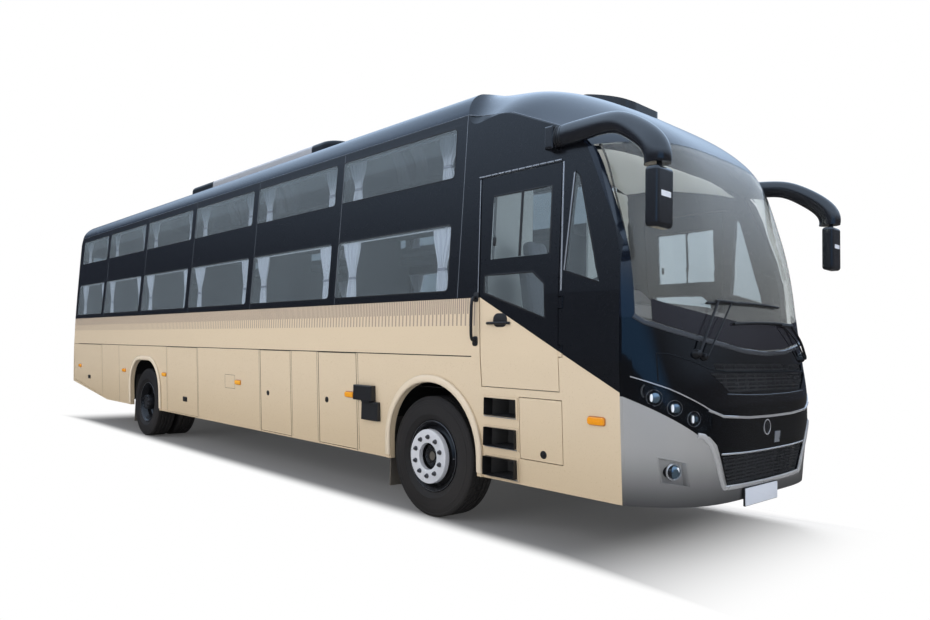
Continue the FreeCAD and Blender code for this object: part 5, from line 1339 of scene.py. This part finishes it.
def buildNoseFittings():
    look = fittingPlaces
    ahead = Vector((1, 0, 0))
    plate = at(*look["plate"])
    wide, tall = look["plateSize"]
    blank = Shell()
    pad(blank, plate, ahead, rounded(wide, tall, 0.006), 0.006, 0.001, 0.0)
    blank.make("plateBlank", "plateWhite")
    holder = Shell()
    pad(holder, plate - ahead * 0.012, ahead, rounded(wide + 0.010, tall + 0.010, 0.008), 0.012, 0.001, 0.0)
    for y in (-0.20, 0.20):
        tube(holder, [plate + Vector((-0.012, y, 0.0)), plate + Vector((-0.06, y, 0.03))], 0.008, 8)
    holder.make("plateHolder", "blackTrim")
    place, normal = noseHit(*look["roundel"])
    badge = Shell()
    lathe(badge, place, normal, ((-0.003, 0.058), (0.005, 0.058), (0.008, 0.054), (0.005, 0.049),
                                 (-0.003, 0.048)), 48, closed=True)
    badge.make("bareRoundel", "brightTrim")
    face = Shell()
    lathe(face, place, normal, ((-0.002, 0.0485), (0.002, 0.0485), (0.0035, 0.030), (0.004, 0.010)), 40)
    face.make("bareRoundelFace", "glossTrim")
    tag = Shell()
    place, normal = noseHit(*look["tag"])
    pad(tag, place, normal, rounded(0.088, 0.084, 0.004), 0.003, 0.001)
    tag.make("noseTag", "edgePale")
    edge = Shell()
    twoHalves(edge, "bumperEdge", 40, 10, 40)
    noseStrip(edge, wholeLine("bumperSill"), 34, 9)
    edge.make("bumperInnerEdge", "bumperEdge")
    lip = Shell()
    noseStrip(lip, wholeLine("grilleLip"), 12, 4)
    lip.make("grilleLips", "glossTrim")


# Mirrors
mirrorLook = {"x": 2366, "y": 1437, "deep": 100, "top": 2630, "bellowXs": (1415, 1440, 1465),
              "bellow": (1288, 3051, 92, 156)}


def buildMirrors():
    look = mirrorLook
    glass, sticker, rubber = Shell(), Shell(), Shell()
    back, front = look["x"] - look["deep"] / 2 + 6, look["x"] + look["deep"] / 2
    middleY, middleZ, wide, tall = look["bellow"]
    circle = [(math.cos(math.radians(15 * step)), math.sin(math.radians(15 * step))) for step in range(24)]
    for side, hand in sides:
        for drop, height, corner, deep, edge in ((150, 0.190, 0.012, 0.0045, 0.001),
                                                 (293, 0.074, 0.010, 0.005, 0.002)):
            place = at(back, side * look["y"], look["top"] - drop)
            pad(glass, place, Vector((-1, 0, 0)), rounded(0.108, height, corner), deep, edge, 0.001)
        place = at(front, side * look["y"], look["top"] - 175)
        pad(sticker, place, Vector((1, 0, 0)), rounded(0.112, 0.036, 0.003), 0.0006, 0.0002, 0.0005)
        for x in look["bellowXs"]:
            rings = []
            for shift, grow in ((-9, 0.94), (-3, 1.04), (3, 1.04), (9, 0.94)):
                rings.append(rubber.loop([at(x + shift, side * middleY + a * wide / 2 * grow,
                                             middleZ + b * tall / 2 * grow) for a, b in circle]))
            rubber.loft(rings)
    glass.make("mirrorGlass", "mirrorSilver")
    sticker.make("mirrorBlankLabel", "plateWhite")
    rubber.make("mirrorBellows", "blackTrim")


# Side details
def closedStrip(shell, side, outline, width, height, step=120.0):
    sideStrip(shell, side, list(outline) + [outline[0]], width, height, step)


def sidePad(shell, side, x, z, outline, depth, edge=0.002, sink=0.003):
    place, normal = sideHit(side, x, z)
    pad(shell, place, normal, outline, depth, edge, sink)


def sideRound(shell, side, x, z, profile, sides=28):
    place, normal = sideHit(side, x, z)
    lathe(shell, place, normal, profile, sides)


windowLook = {"front": 242, "pitch": 1866, "width": 1752, "low": (1950, 2530), "high": (2935, 3380),
              "last": -10560, "gasket": (11, 1.6), "corner": 40}


def windowSpans():
    look = windowLook
    spans = []
    for bay in range(6):
        front = look["front"] - bay * look["pitch"]
        spans.append((max(front - look["width"], look["last"]), front))
    return spans


def buildGaskets():
    look = windowLook
    shell = Shell()
    for side, hand in sides:
        for rear, front in windowSpans():
            for foot, top in (look["low"], look["high"]):
                outline = [((rear + front) / 2 + a, (foot + top) / 2 + b)
                           for a, b in rounded(front - rear, top - foot, look["corner"], 3)]
                closedStrip(shell, side, outline, *look["gasket"], 200.0)
    shell.make("windowGaskets", "blackTrim")


doorLook = {"upper": ((740, 2185), (737, 2704), (1350, 2704), (1356, 2185)),
            "lower": ((688, 1917), (682, 2058), (1197, 2058), (1316, 1961), (1331, 1704)),
            "quarter": ((1508, 2045), (1565, 2778), (1610, 2729), (1813, 1946)), "split": 1052,
            "handle": (858, 1670), "grab": (597, 1527, 1886), "splitZ": (2190, 2700),
            "rail": (560, 1440, 2886, 12),
            "edges": ((((1478, 1900), (1448, 2868)), 14, 2.5), (((616, 1905), (572, 2866)), 8, 2.0)),
            "quarterEdge": ((1500, 2050), (1556, 2770))}


def doorHandle(side, hand, body):
    handle = Shell()
    x, z = doorLook["handle"]
    sidePad(handle, side, x + 15, z + 24, rounded(0.150, 0.110, 0.050, 6), 0.004)
    place, normal = sideHit(side, x, z)
    grip = [place + Vector((a / 1000, 0, 0)) + normal * out for a, out in
            ((-120, 0.004), (-100, 0.026), (-40, 0.032), (40, 0.032), (100, 0.026), (120, 0.004))]
    tube(handle, curve(grip, 4), 0.011, 12)
    handle.make("doorHandle" + hand, "blackTrim", body)


def grabHandle(side, hand):
    # the upright rail behind the door, on two round feet
    grab = Shell()
    x, foot, top = doorLook["grab"]
    low, lowNormal = sideHit(side, x, foot)
    high, highNormal = sideHit(side, x, top)
    rise = Vector((0, 0, 0.03))
    line = curve([low + lowNormal * 0.002, low + lowNormal * 0.045 + rise,
                  between(low, high, 0.5) + lowNormal * 0.052, high + highNormal * 0.045 - rise,
                  high + highNormal * 0.002], 6)
    tube(grab, line, 0.013, 12)
    for place, normal in ((low, lowNormal), (high, highNormal)):
        pad(grab, place, normal, rounded(0.060, 0.080, 0.020), 0.006)
    grab.make("grabHandle" + hand, "blackTrim")


def buildDoorTrim():
    look = doorLook
    for side, body, hand in ((-1, "driver_door_leaf", "Right"), (1, "passenger_door_leaf", "Left")):
        dark = Shell()
        for outline in (look["upper"], look["lower"]):
            closedStrip(dark, side, outline, 14, 2.0)
        sideStrip(dark, side, [(look["split"], z) for z in look["splitZ"]], 26, 3.0)
        sidePad(dark, side, look["upper"][0][0] + 34, 2330, rounded(0.026, 0.070, 0.006), 0.008)
        dark.make("doorTrim" + hand, "blackTrim", body)
        doorHandle(side, hand, body)
        pale = Shell()
        for line, width, height in look["edges"]:
            sideStrip(pale, side, line, width, height)
        pale.make("doorEdges" + hand, "edgePale")
        rail = Shell()
        rear, front, z, count = look["rail"]
        for step in range(count):
            start = rear + (front - rear) * step / count
            sideStrip(rail, side, [(start, z), (start + (front - rear) / count - 9, z)], 13, 9)
        rail.make("dripRail" + hand, "edgePale")
        quarter = Shell()
        closedStrip(quarter, side, look["quarter"], 12, 2.0)
        quarter.make("quarterGasket" + hand, "blackTrim")
        paleEdge = Shell()
        sideStrip(paleEdge, side, look["quarterEdge"], 13, 3.0)
        paleEdge.make("quarterEdge" + hand, "edgePale")
        grabHandle(side, hand)


# Locks and flush handles: the flap's number and their place
fittingLook = {"locks": ((3, -2877, 900), (4, -1623, 906)),
               "flushHandles": ((1, -9713, 794), (2, -5293, 668)),
               "lampXs": (-10262, -7790, -6040, -3635, -1201, 1791), "lampZ": 985,
               "lampSize": (0.140, 0.054, 0.022),
               "hatchLock": (1304, 692), "filler": (-3870, 985, 277, 168)}


def flapBody(hand, bay):
    return "luggage_flap_" + hand + "_" + str(bay)


def roundLock(shell, side, x, z):
    sideRound(shell, side, x, z, ((-0.002, 0.030), (0.003, 0.030), (0.005, 0.027), (0.003, 0.022),
                                  (0.003, 0.018), (0.006, 0.016), (0.007, 0.010)))
    sidePad(shell, side, x, z, rounded(0.032, 0.008, 0.003), 0.010)


def buildSideLamps():
    lens = Shell()
    bezel = Shell()
    z = fittingLook["lampZ"]
    wide, tall, deep = fittingLook["lampSize"]
    for side, hand in sides:
        for x in fittingLook["lampXs"]:
            hit, normal = sideHit(side, x + 100, z)
            place = Vector((at(x, 0, 0).x, hit.y, z / 1000))
            pad(bezel, place, normal, rounded(wide + 0.010, tall + 0.010, 0.020, 6), 0.005)
            pad(lens, place, normal, rounded(wide, tall, 0.018, 6), deep, 0.009, 0.001)
            for step in range(5):
                rib = place + Vector(((step - 2) * 0.022, 0, 0)) + normal * (deep - 0.001)
                pad(lens, rib, normal, rounded(0.012, 0.030, 0.004), 0.002, 0.001)
    bezel.make("sideLampBezels", "amberDeep")
    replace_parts(lens.make("sideLampLenses", "amberLens"), "side_lamps")


def buildFittings():
    look = fittingLook
    buildSideLamps()
    for side, hand in sides:
        for bay, x, z in look["locks"]:
            lock = Shell()
            roundLock(lock, side, x, z)
            lock.make("flapLock" + hand.capitalize() + str(bay), "blackTrim", flapBody(hand, bay))
        for bay, x, z in look["flushHandles"]:
            pocket = Shell()
            sidePad(pocket, side, x, z, rounded(0.150, 0.070, 0.014), 0.003)
            sidePad(pocket, side, x, z + 8, rounded(0.120, 0.028, 0.008), 0.010)
            pocket.make("flapHandle" + hand.capitalize() + str(bay), "blackTrim", flapBody(hand, bay))
    lock = Shell()
    roundLock(lock, -1, *look["hatchLock"])
    lock.make("hatchLock", "blackTrim", "hatch")
    lines = Shell()
    x, z, wide, tall = look["filler"]
    for side, hand in sides:
        closedStrip(lines, side, [(x + a, z + b) for a, b in rounded(wide, tall, 12, 3)], 4, 0.6)
    lines.make("fillerDoorSeams", "seamDark")


stepLook = {"span": (700, 1040), "pockets": ((470, 618), (700, 847), (940, 1080)), "face": 1.292,
            "ribY": -1225, "ribPitch": 32, "ribs": 7}


def sleeve(shell, side, outline, deep, thick=0.003):
    # a thin closed sleeve that lines an opening in the side wall
    middleX = sum(x for x, z in outline) / len(outline)
    middleZ = sum(z for x, z in outline) / len(outline)
    face = stepLook["face"]
    rings = []
    for out, trim in ((face, 0.0005), (face - deep, 0.0005), (face - deep, thick), (face, thick)):
        ring = []
        for x, z in outline:
            towards = Vector((middleX - x, 0, middleZ - z))
            ring.append(at(x, side * out * 1000, z) + towards.normalized() * trim)
        rings.append(shell.loop(ring))
    shell.loft(rings, turned=True, closed=True)


def buildStepLips():
    # bright lower lips, dark linings and a ribbed tread plate in each step pocket
    look = stepLook
    lip = Shell()
    rib = Shell()
    lining = Shell()
    rear, front = look["span"]
    wide, middleX = front - rear, (rear + front) / 2
    ribOutline = [(b, a) for a, b in rounded(wide / 1000 - 0.03, 0.010, 0.003, 2)][::-1]
    for foot, top in look["pockets"]:
        opening = rounded((wide - 2) / 1000, (top - foot - 2) / 1000, 0.004, 2)
        sleeve(lining, -1, [(middleX + a * 1000, (foot + top) / 2 + b * 1000) for a, b in opening], 0.10)
        sideStrip(lip, -1, [(rear - 4, foot - 7), (front + 4, foot - 7)], 7, 3.5)
        for step in range(look["ribs"]):
            place = at(middleX, look["ribY"] + step * look["ribPitch"], foot + 1.5)
            pad(rib, place, Vector((0, 0, 1)), ribOutline, 0.003, 0.001, 0.001)
    lip.make("stepLips", "edgePale")
    rib.make("stepRibs", "pocketBlack")
    lining.make("stepLinings", "pocketBlack")


# Arch liners: black moulded sheets inside each wheel arch
linerLook = {"front": {"liner": (0, 652, 1125, 420), "lip": (26, 573, 1165, 560)},
             "rear": {"liner": (-6856, 655, 1200, 400), "lip": (-6856, 612, 1176, 430)},
             "inner": 570, "outer": 1232, "thick": 4.0, "linerFoot": 520, "lipOut": 34, "lipFoot": 470,
             "lipSize": (64, 15)}


def archLine(arch, grow, steps, foot):
    # both upright sides and the rounded top of a wheel arch, in millimetres of x and z
    centre, half, top, corner = arch
    points = [(centre - half - grow, foot)]
    for sense, start in ((-1, 180), (1, 90)):
        for step in range(steps + 1):
            angle = math.radians(start - 90 * step / steps)
            points.append((centre + sense * (half - corner) + (corner + grow) * math.cos(angle),
                           top - corner + (corner + grow) * math.sin(angle)))
    return points + [(centre + half + grow, foot)]


def archMoulding(shell, hits):
    # a broad rounded lip along the wheel arch, in a beige paler than the body paint: a painted highlight
    wide, high = [size / 1000 for size in linerLook["lipSize"]]
    rings = []
    for index, (place, normal) in enumerate(hits):
        along = (hits[min(index + 1, len(hits) - 1)][0] - hits[max(index - 1, 0)][0]).normalized()
        flat = Vector((0, normal.y, 0)).normalized()
        across = along.cross(flat).normalized()
        angles = [math.radians(18 * step) for step in range(11)]
        arc = [(wide / 2 * math.cos(angle), high * math.sin(angle)) for angle in angles]
        outline = [(wide / 2, -0.003)] + arc + [(-wide / 2, -0.003)]
        rings.append(shell.loop([place + across * a + flat * b for a, b in reversed(outline)]))
    shell.loft(rings, turned=True)


def buildArchLiners():
    look = linerLook
    for place in ("front", "rear"):
        shell = Shell()
        outer = archLine(look[place]["liner"], 0.0, 8, look["linerFoot"])
        inner = archLine(look[place]["liner"], -look["thick"], 8, look["linerFoot"])
        for side, hand in sides:
            rows = []
            for y in (look["inner"], look["outer"]):
                rows.append([(at(a[0], side * y, a[1]), at(b[0], side * y, b[1]))
                             for a, b in zip(inner, outer)])
            ridge(shell, rows if side > 0 else rows[::-1])
        shell.make("archLiners" + place.capitalize(), "linerBlack")
        lip = Shell()
        line = archLine(look[place]["lip"], look["lipOut"], 12, look["lipFoot"])
        for side, hand in sides:
            hits = [sideHit(side, x, z) for x, z in spread(line, 90)]
            archMoulding(lip, [hit for hit in hits if hit[0]])
        # the lips' paler beige is a painted highlight
        lip.make("archLips" + place.capitalize(), "archLipPaleHighlight")


# Curtains: a gathered pair at every window, tied in below the middle
curtainLook = {"rows": ((2514, 1930), (3362, 2900)), "share": 0.17, "pleat": 0.050, "depth": 0.013,
               "columns": 40, "steps": 18, "tieAt": 0.60, "tieWidth": 0.34, "footWidth": 0.52,
               "gather": 0.62, "pane": 1.752, "offWall": 0.022, "phaseStep": 1.3,
               "rails": {"Upper": 0.013, "Lower": 0.008}}


def wallInner(z):
    # the inside of the side wall at a height, in metres from the centre line
    place, normal = sideHit(-1, 325, z)
    return -place.y - 0.045


def hangLine(top, foot):
    # how far out a curtain between two heights hangs
    return min(wallInner(top), wallInner(foot)) - curtainLook["offWall"]


def curtainGrid(side, x, sense, top, foot, phase):
    # points of one gathered curtain from its top row down
    look = curtainLook
    wide = look["share"] * look["pane"]
    hangY = hangLine(top, foot)
    rows = []
    for step in range(look["steps"] + 1):
        down = step / look["steps"]
        if down < look["tieAt"]:
            share = down / look["tieAt"]
            width = wide * (1 - (1 - look["tieWidth"]) * share * share * (3 - 2 * share))
        else:
            share = (down - look["tieAt"]) / (1 - look["tieAt"])
            width = wide * (look["tieWidth"] + (look["footWidth"] - look["tieWidth"]) * share * (2 - share))
        loose = 0.55 + 0.45 * min(1.0, width / wide * 1.4)
        depth = look["depth"] * (0.8 + 0.2 * math.cos(3 * down)) * loose
        start = (wide - width) * look["gather"]
        height = (top + (foot - top) * down) / 1000
        row = []
        for column in range(look["columns"] + 1):
            along = column / look["columns"]
            wave = 2 * math.pi * along * wide / look["pleat"] + phase
            y = hangY - depth * math.sin(wave) - 0.3 * depth * math.sin(0.5 * wave + 2 * down)
            lean = 0.006 * math.sin(1.7 * wave + 4 * down)
            row.append(Vector((x + sense * (start + width * along + lean), side * y, height)))
        rows.append(row)
    return rows


def curtainTie(shell, side, tie):
    # a band round the gathered row of points
    low, high = tie[0], tie[-1]
    y = side * abs(sum(point.y for point in tie) / len(tie))
    centre = Vector(((low.x + high.x) / 2, y, low.z))
    ring = rounded(abs(high.x - low.x) + 0.008, 0.034, 0.014, 3)
    shell.loft([shell.loop([centre + Vector((a, b, up)) for a, b in ring]) for up in (-0.011, 0.011)])


def curtainRow(side, hand, level, top, foot):
    # all curtains of one level on one side, as one cloth on one rail
    look = curtainLook
    sheet = Shell()
    bands = Shell()
    rail = Shell()
    uvs = []
    spans = windowSpans()
    ends = [(x, sense) for rear, front in spans for x, sense in ((front - 12, -1), (rear + 12, 1))]
    for index, (x, sense) in enumerate(ends):
        rows = curtainGrid(side, at(x, 0, 0).x, sense, top, foot, (index + 1) * look["phaseStep"])
        across = len(rows[0])
        loops = [sheet.loop(row) for row in rows]
        for down, (upper, lower) in enumerate(zip(loops, loops[1:] + [None])):
            uvs += [(column / across * 0.5, down / len(rows) * 0.6) for column in range(across)]
            if lower:
                for column in range(across - 1):
                    face = (upper[column], upper[column + 1], lower[column + 1], lower[column])
                    sheet.faces.append(face if sense * side > 0 else face[::-1])
        curtainTie(bands, side, rows[round(look["tieAt"] * look["steps"])])
    y, z = side * hangLine(top, foot), top / 1000 + 0.004
    tube(rail, [Vector((at(x, 0, 0).x, y, z)) for x in (spans[-1][0], spans[0][1])], look["rails"][level], 8)
    name = "curtains" + level + hand.capitalize()
    mesh = plainMesh(name, sheet.points, sheet.faces)
    layer = mesh.uv_layers.new(name="cloth")
    for loop in mesh.loops:
        layer.data[loop.index].uv = uvs[loop.vertex_index]
    mesh.materials.append(materials["curtainCloth"])
    mesh.shade_smooth()
    cloth = linked(name, mesh)
    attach(cloth, bodyName)
    railThing = rail.make(name + "Rail", "railGrey")
    bandThing = bands.make(name + "Ties", "curtainTie")
    for thing in (cloth, railThing, bandThing):
        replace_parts(thing, "curtains")


def buildCurtains():
    for side, hand in sides:
        for level, (top, foot) in zip(("Upper", "Lower"), reversed(curtainLook["rows"])):
            curtainRow(side, hand, level, top, foot)
    print("curtains made")


# Driver's seat: pads over the moulded seat
seatLook = {"pressure": 4.0, "voxel": 0.006, "frames": 20, "cap": 0.012, "sewn": 0.003,
            "channel": 0.11, "cushionX": 985, "pivotX": 803, "topZ": 1.610, "lean": -10,
            "cushion": (0.440, 0.455, 0.110, 0.07), "back": (0.620, 0.430, 0.090, 0.09),
            "rest": (0.160, 0.260, 0.072, 0.06), "backUp": (0.0, 0.295), "restUp": (0.002, 0.722),
            "baseX": 981}


def padMesh(name, wide, deep, thick, corner):
    # a rounded block with crowned faces, ready for the cloth run
    shell = Shell()
    rings = []
    levels = ((-0.5, 0.90), (-0.42, 0.985), (-0.2, 1.0), (0.0, 1.0), (0.2, 1.0), (0.42, 0.985), (0.5, 0.90))
    outline = rounded(wide, deep, corner, 8)
    for height, scale in levels:
        rings.append(shell.loop([Vector((a * scale, b * scale, height * thick)) for a, b in outline]))
    shell.loft(rings)
    return plainMesh(name, shell.points, shell.faces)


def swell(thing):
    # a short cloth run under pressure, with every point's way capped
    look = seatLook
    before = [vertex.co.copy() for vertex in thing.data.vertices]
    cloth = thing.modifiers.new("fabric", "CLOTH")
    cloth.settings.use_pressure = True
    cloth.settings.uniform_pressure_force = look["pressure"]
    cloth.settings.effector_weights.gravity = 0.0
    cloth.settings.quality = 4
    cloth.point_cache.frame_start = 1
    cloth.point_cache.frame_end = look["frames"]
    for step in range(1, look["frames"] + 1):
        bpy.context.scene.frame_set(step)
    evaluated = thing.evaluated_get(bpy.context.evaluated_depsgraph_get())
    after = [vertex.co.copy() for vertex in evaluated.data.vertices]
    thing.modifiers.remove(cloth)
    for vertex, old, new in zip(thing.data.vertices, before, after):
        move = new - old
        if move.length > look["cap"]:
            move = move.normalized() * look["cap"]
        vertex.co = old + move
    bpy.context.scene.frame_set(1)


def swollenPad(name, size, place):
    # an even mesh by voxels, blown up a little, sewn in channels, then one subdivision
    look = seatLook
    thing = linked(name, padMesh(name, *size))
    remesh = thing.modifiers.new("even", "REMESH")
    remesh.mode = "VOXEL"
    remesh.voxel_size = look["voxel"] * 1.0
    even = evaluatedMesh(thing)
    thing.modifiers.remove(remesh)
    thing.data = even
    swell(thing)
    for vertex in even.vertices:
        if vertex.co.z > 0:
            vertex.co.z -= look["sewn"] * math.cos(2 * math.pi * vertex.co.y / look["channel"]) ** 16
    smooth = thing.modifiers.new("even", "SUBSURF")
    smooth.levels = 1
    smooth.render_levels = 1
    final = evaluatedMesh(thing)
    bpy.data.objects.remove(thing)
    final.transform(place)
    final.name = name
    final.materials.clear()
    final.materials.append(materials["seatCloth"])
    final.shade_smooth()
    done = linked(name, final)
    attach(done, bodyName)
    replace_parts(done, "driver_seat")


def buildSeat():
    look = seatLook
    low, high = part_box("driver_seat")
    middle = (low[1] + high[1]) / 2
    cushion = Matrix.Translation(Vector((at(look["cushionX"], 0, 0).x, middle, look["topZ"] - 0.066)))
    swollenPad("seatCushion", look["cushion"], cushion)
    pivot = Matrix.Translation(Vector((at(look["pivotX"], 0, 0).x, middle, look["topZ"])))
    tilted = pivot @ Matrix.Rotation(math.radians(look["lean"]), 4, "Y")
    upright = Matrix.Rotation(math.radians(90), 4, "Y")
    for name, key in (("seatBack", "back"), ("seatHeadRest", "rest")):
        ahead, up = look[key + "Up"]
        swollenPad(name, look[key], tilted @ Matrix.Translation(Vector((ahead, 0, up))) @ upright)
    base = Shell()
    rise = Vector((0, 0, 1))
    x = at(look["baseX"], 0, 0).x
    pad(base, Vector((x, middle, 1.1805)), rise, rounded(0.270, 0.270, 0.03), 0.290, 0.006, 0.0)
    pad(base, Vector((x, middle, 1.465)), rise, rounded(0.380, 0.400, 0.05), 0.022, 0.004, 0.0)
    for side, hand in sides:
        y = middle + side * 0.190
        tube(base, [Vector((at(800, 0, 0).x, y, 1.48)), Vector((at(790, 0, 0).x, y, 1.70))], 0.014, 8)
        tube(base, [tilted @ Vector((0.002, side * 0.060, up)) for up in (0.55, 0.70)], 0.007, 8)
    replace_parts(base.make("seatBase", "dashPlastic"), "driver_seat")
    print("seat made")


# Pale lining inside the cab: ceiling over the driver and the wall behind
liningLook = {"xs": (420, 1600), "crownZ": 3.235, "fall": 0.20, "half": 1.10, "bend": 0.08, "thick": 0.006,
              "wallX": 415, "wallY": (0.42, 1.13), "wallZ": (1.36, 3.15)}


def buildCabLining():
    look = liningLook
    shell = Shell()
    rows = []
    for step in range(9):
        x = between(*look["xs"], step / 8)
        row = []
        for across in range(11):
            y = look["half"] * (across / 5 - 1)
            z = look["crownZ"] - look["fall"] * (step / 8) ** 2 - look["bend"] * (y / look["half"]) ** 4
            place = Vector((at(x, 0, 0).x, y, z))
            row.append((place, place + Vector((0, 0, look["thick"]))))
        rows.append(row)
    ridge(shell, rows)
    inner, outer = look["wallY"]
    foot, top = look["wallZ"]
    for side, hand in sides:
        centre = Vector((at(look["wallX"], 0, 0).x, side * (inner + outer) / 2, (foot + top) / 2))
        pad(shell, centre, Vector((1, 0, 0)), rounded(outer - inner, top - foot, 0.03), 0.012, 0.003, 0.012)
    shell.make("cabLining", "liningPale")


# Roof unit: fans under wire guards, and vents along its sides
roofLook = {"ends": (-6880, -2540), "fanZ": 3969, "fans": 4, "blades": 7,
            "rings": (0.075, 0.11, 0.145, 0.18, 0.211), "spokes": 6, "vents": 22, "ventPitch": 160,
            "ventStart": 420, "ventY": 720, "ventZ": 3790}


def fanBlade():
    shell = Shell()
    rings = []
    section = ((-0.026, -0.0012), (0.026, -0.0012), (0.026, 0.0012), (-0.026, 0.0012))
    for radius, twist in ((0.055, 0.55), (0.11, 0.42), (0.165, 0.32), (0.200, 0.26)):
        cosine, sine = math.cos(twist), math.sin(twist)
        rings.append(shell.loop([Vector((radius, a * cosine - b * sine, a * sine + b * cosine))
                                 for a, b in section]))
    shell.loft(rings)
    return shell


def spun(degrees):
    # a level direction
    return Vector((math.cos(math.radians(degrees)), math.sin(math.radians(degrees)), 0))


def buildRoofUnit():
    look = roofLook
    blades = Shell()
    guards = Shell()
    rear, front = look["ends"]
    template = fanBlade()
    for fan in range(1, look["fans"] + 1):
        centre = at(rear + fan * (front - rear) / (look["fans"] + 1), 0, look["fanZ"])
        for blade in range(look["blades"]):
            turn = Matrix.Translation(centre) @ Matrix.Rotation(2 * math.pi * blade / look["blades"], 4, "Z")
            start = len(blades.points)
            blades.points += [turn @ point for point in template.points]
            blades.faces += [tuple(start + index for index in face) for face in template.faces]
        for radius in look["rings"]:
            above = centre + Vector((0, 0, 0.013))
            tube(guards, [above + spun(10 * step) * radius for step in range(37)], 0.0022, 5)
        for spoke in range(look["spokes"]):
            above = centre + Vector((0, 0, 0.012))
            tube(guards, [above + spun(60 * spoke) * reach for reach in (0.05, 0.2125)], 0.0025, 5)
    blades.make("roofFanBlades", "blackTrim")
    guards.make("roofFanGuards", "sheetMetal")
    vents = Shell()
    for side, hand in sides:
        for vent in range(look["vents"]):
            x = rear + look["ventStart"] + vent * look["ventPitch"]
            place = at(x, side * look["ventY"], look["ventZ"])
            pad(vents, place, Vector((0, side, 0)), rounded(0.120, 0.030, 0.013), 0.003, 0.001, 0.001)
    vents.make("roofUnitVents", "blackTrim")


# Rear end: lamps, and the louvres, seal and locks of the engine lid
tailTree = treeOf("rear_panel", "engine_lid", "rear_lamps")
tailLook = {"lamps": ((905, 1085, "redLens"), (1107, 1285, "amberLens"), (1307, 1495, "redLens")),
            "lampY": 1050, "louvres": 9, "louvreZ": (760, 1330), "louvreHalf": 430, "seal": (760, 1506),
            "lock": (520, 860), "lockInset": 0.004}


def tailHit(y, z):
    # the rear skin seen from behind, at y and z in millimetres
    place, normal, index, distance = tailTree.ray_cast(at(-14000, y, z), Vector((1, 0, 0)))
    return place, normal


def tailStrip(shell, half, z, width, height):
    stripAlong(shell, tailHit, [(-half, z), (0, z), (half, z)], width, height, 60.0)


def rearLamp(shell, side, foot, top):
    # a padded lens with four ribs across it
    place, normal = tailHit(side * tailLook["lampY"], (foot + top) / 2)
    pad(shell, place, normal, rounded(0.100, (top - foot - 26) / 1000, 0.020, 4), 0.007, 0.004, 0.003)
    for row in range(4):
        spot = place + Vector((0, 0, (row - 1.5) * (top - foot - 70) / 4000))
        pad(shell, spot + normal * 0.006, normal, rounded(0.080, 0.018, 0.006), 0.003, 0.001, 0.002)


def buildTail():
    look = tailLook
    for index, (foot, top, material) in enumerate(look["lamps"]):
        lens = Shell()
        for side, hand in sides:
            rearLamp(lens, side, foot, top)
        lens.make("rearLamp" + str(index + 1), material)
    louvre = Shell()
    for row in range(look["louvres"]):
        z = between(*look["louvreZ"], row / (look["louvres"] - 1))
        tailStrip(louvre, look["louvreHalf"], z, 30, 7)
    louvre.make("engineLidLouvres", "blackTrim", "engine_lid_leaf")
    trim = Shell()
    tailStrip(trim, *look["seal"], 9, 6)
    trim.make("engineLidSeal", "blackTrim")
    lock = Shell()
    for side, hand in sides:
        place, normal = tailHit(side * look["lock"][0], look["lock"][1])
        place.x = max(place.x, cadBox[0][0] + look["lockInset"])
        lathe(lock, place, normal, ((-0.006, 0.030), (0.001, 0.030), (0.003, 0.026), (0.001, 0.020),
                                    (0.003, 0.012)), 24)
    lock.make("engineLidLocks", "blackTrim", "engine_lid_leaf")


buildSeams()
buildNoseTrim()
buildWheels()
buildGrilles()
buildHeadlamps()
buildCornerLamps()
buildScreenBand()
buildWipers()
buildNoseFittings()
buildMirrors()
print("nose pieces made")
buildGaskets()
buildDoorTrim()
buildFittings()
buildStepLips()
buildArchLiners()
print("side pieces made")
buildCurtains()
buildSeat()
buildCabLining()
buildRoofUnit()
buildTail()
print("inside, roof and tail pieces made")
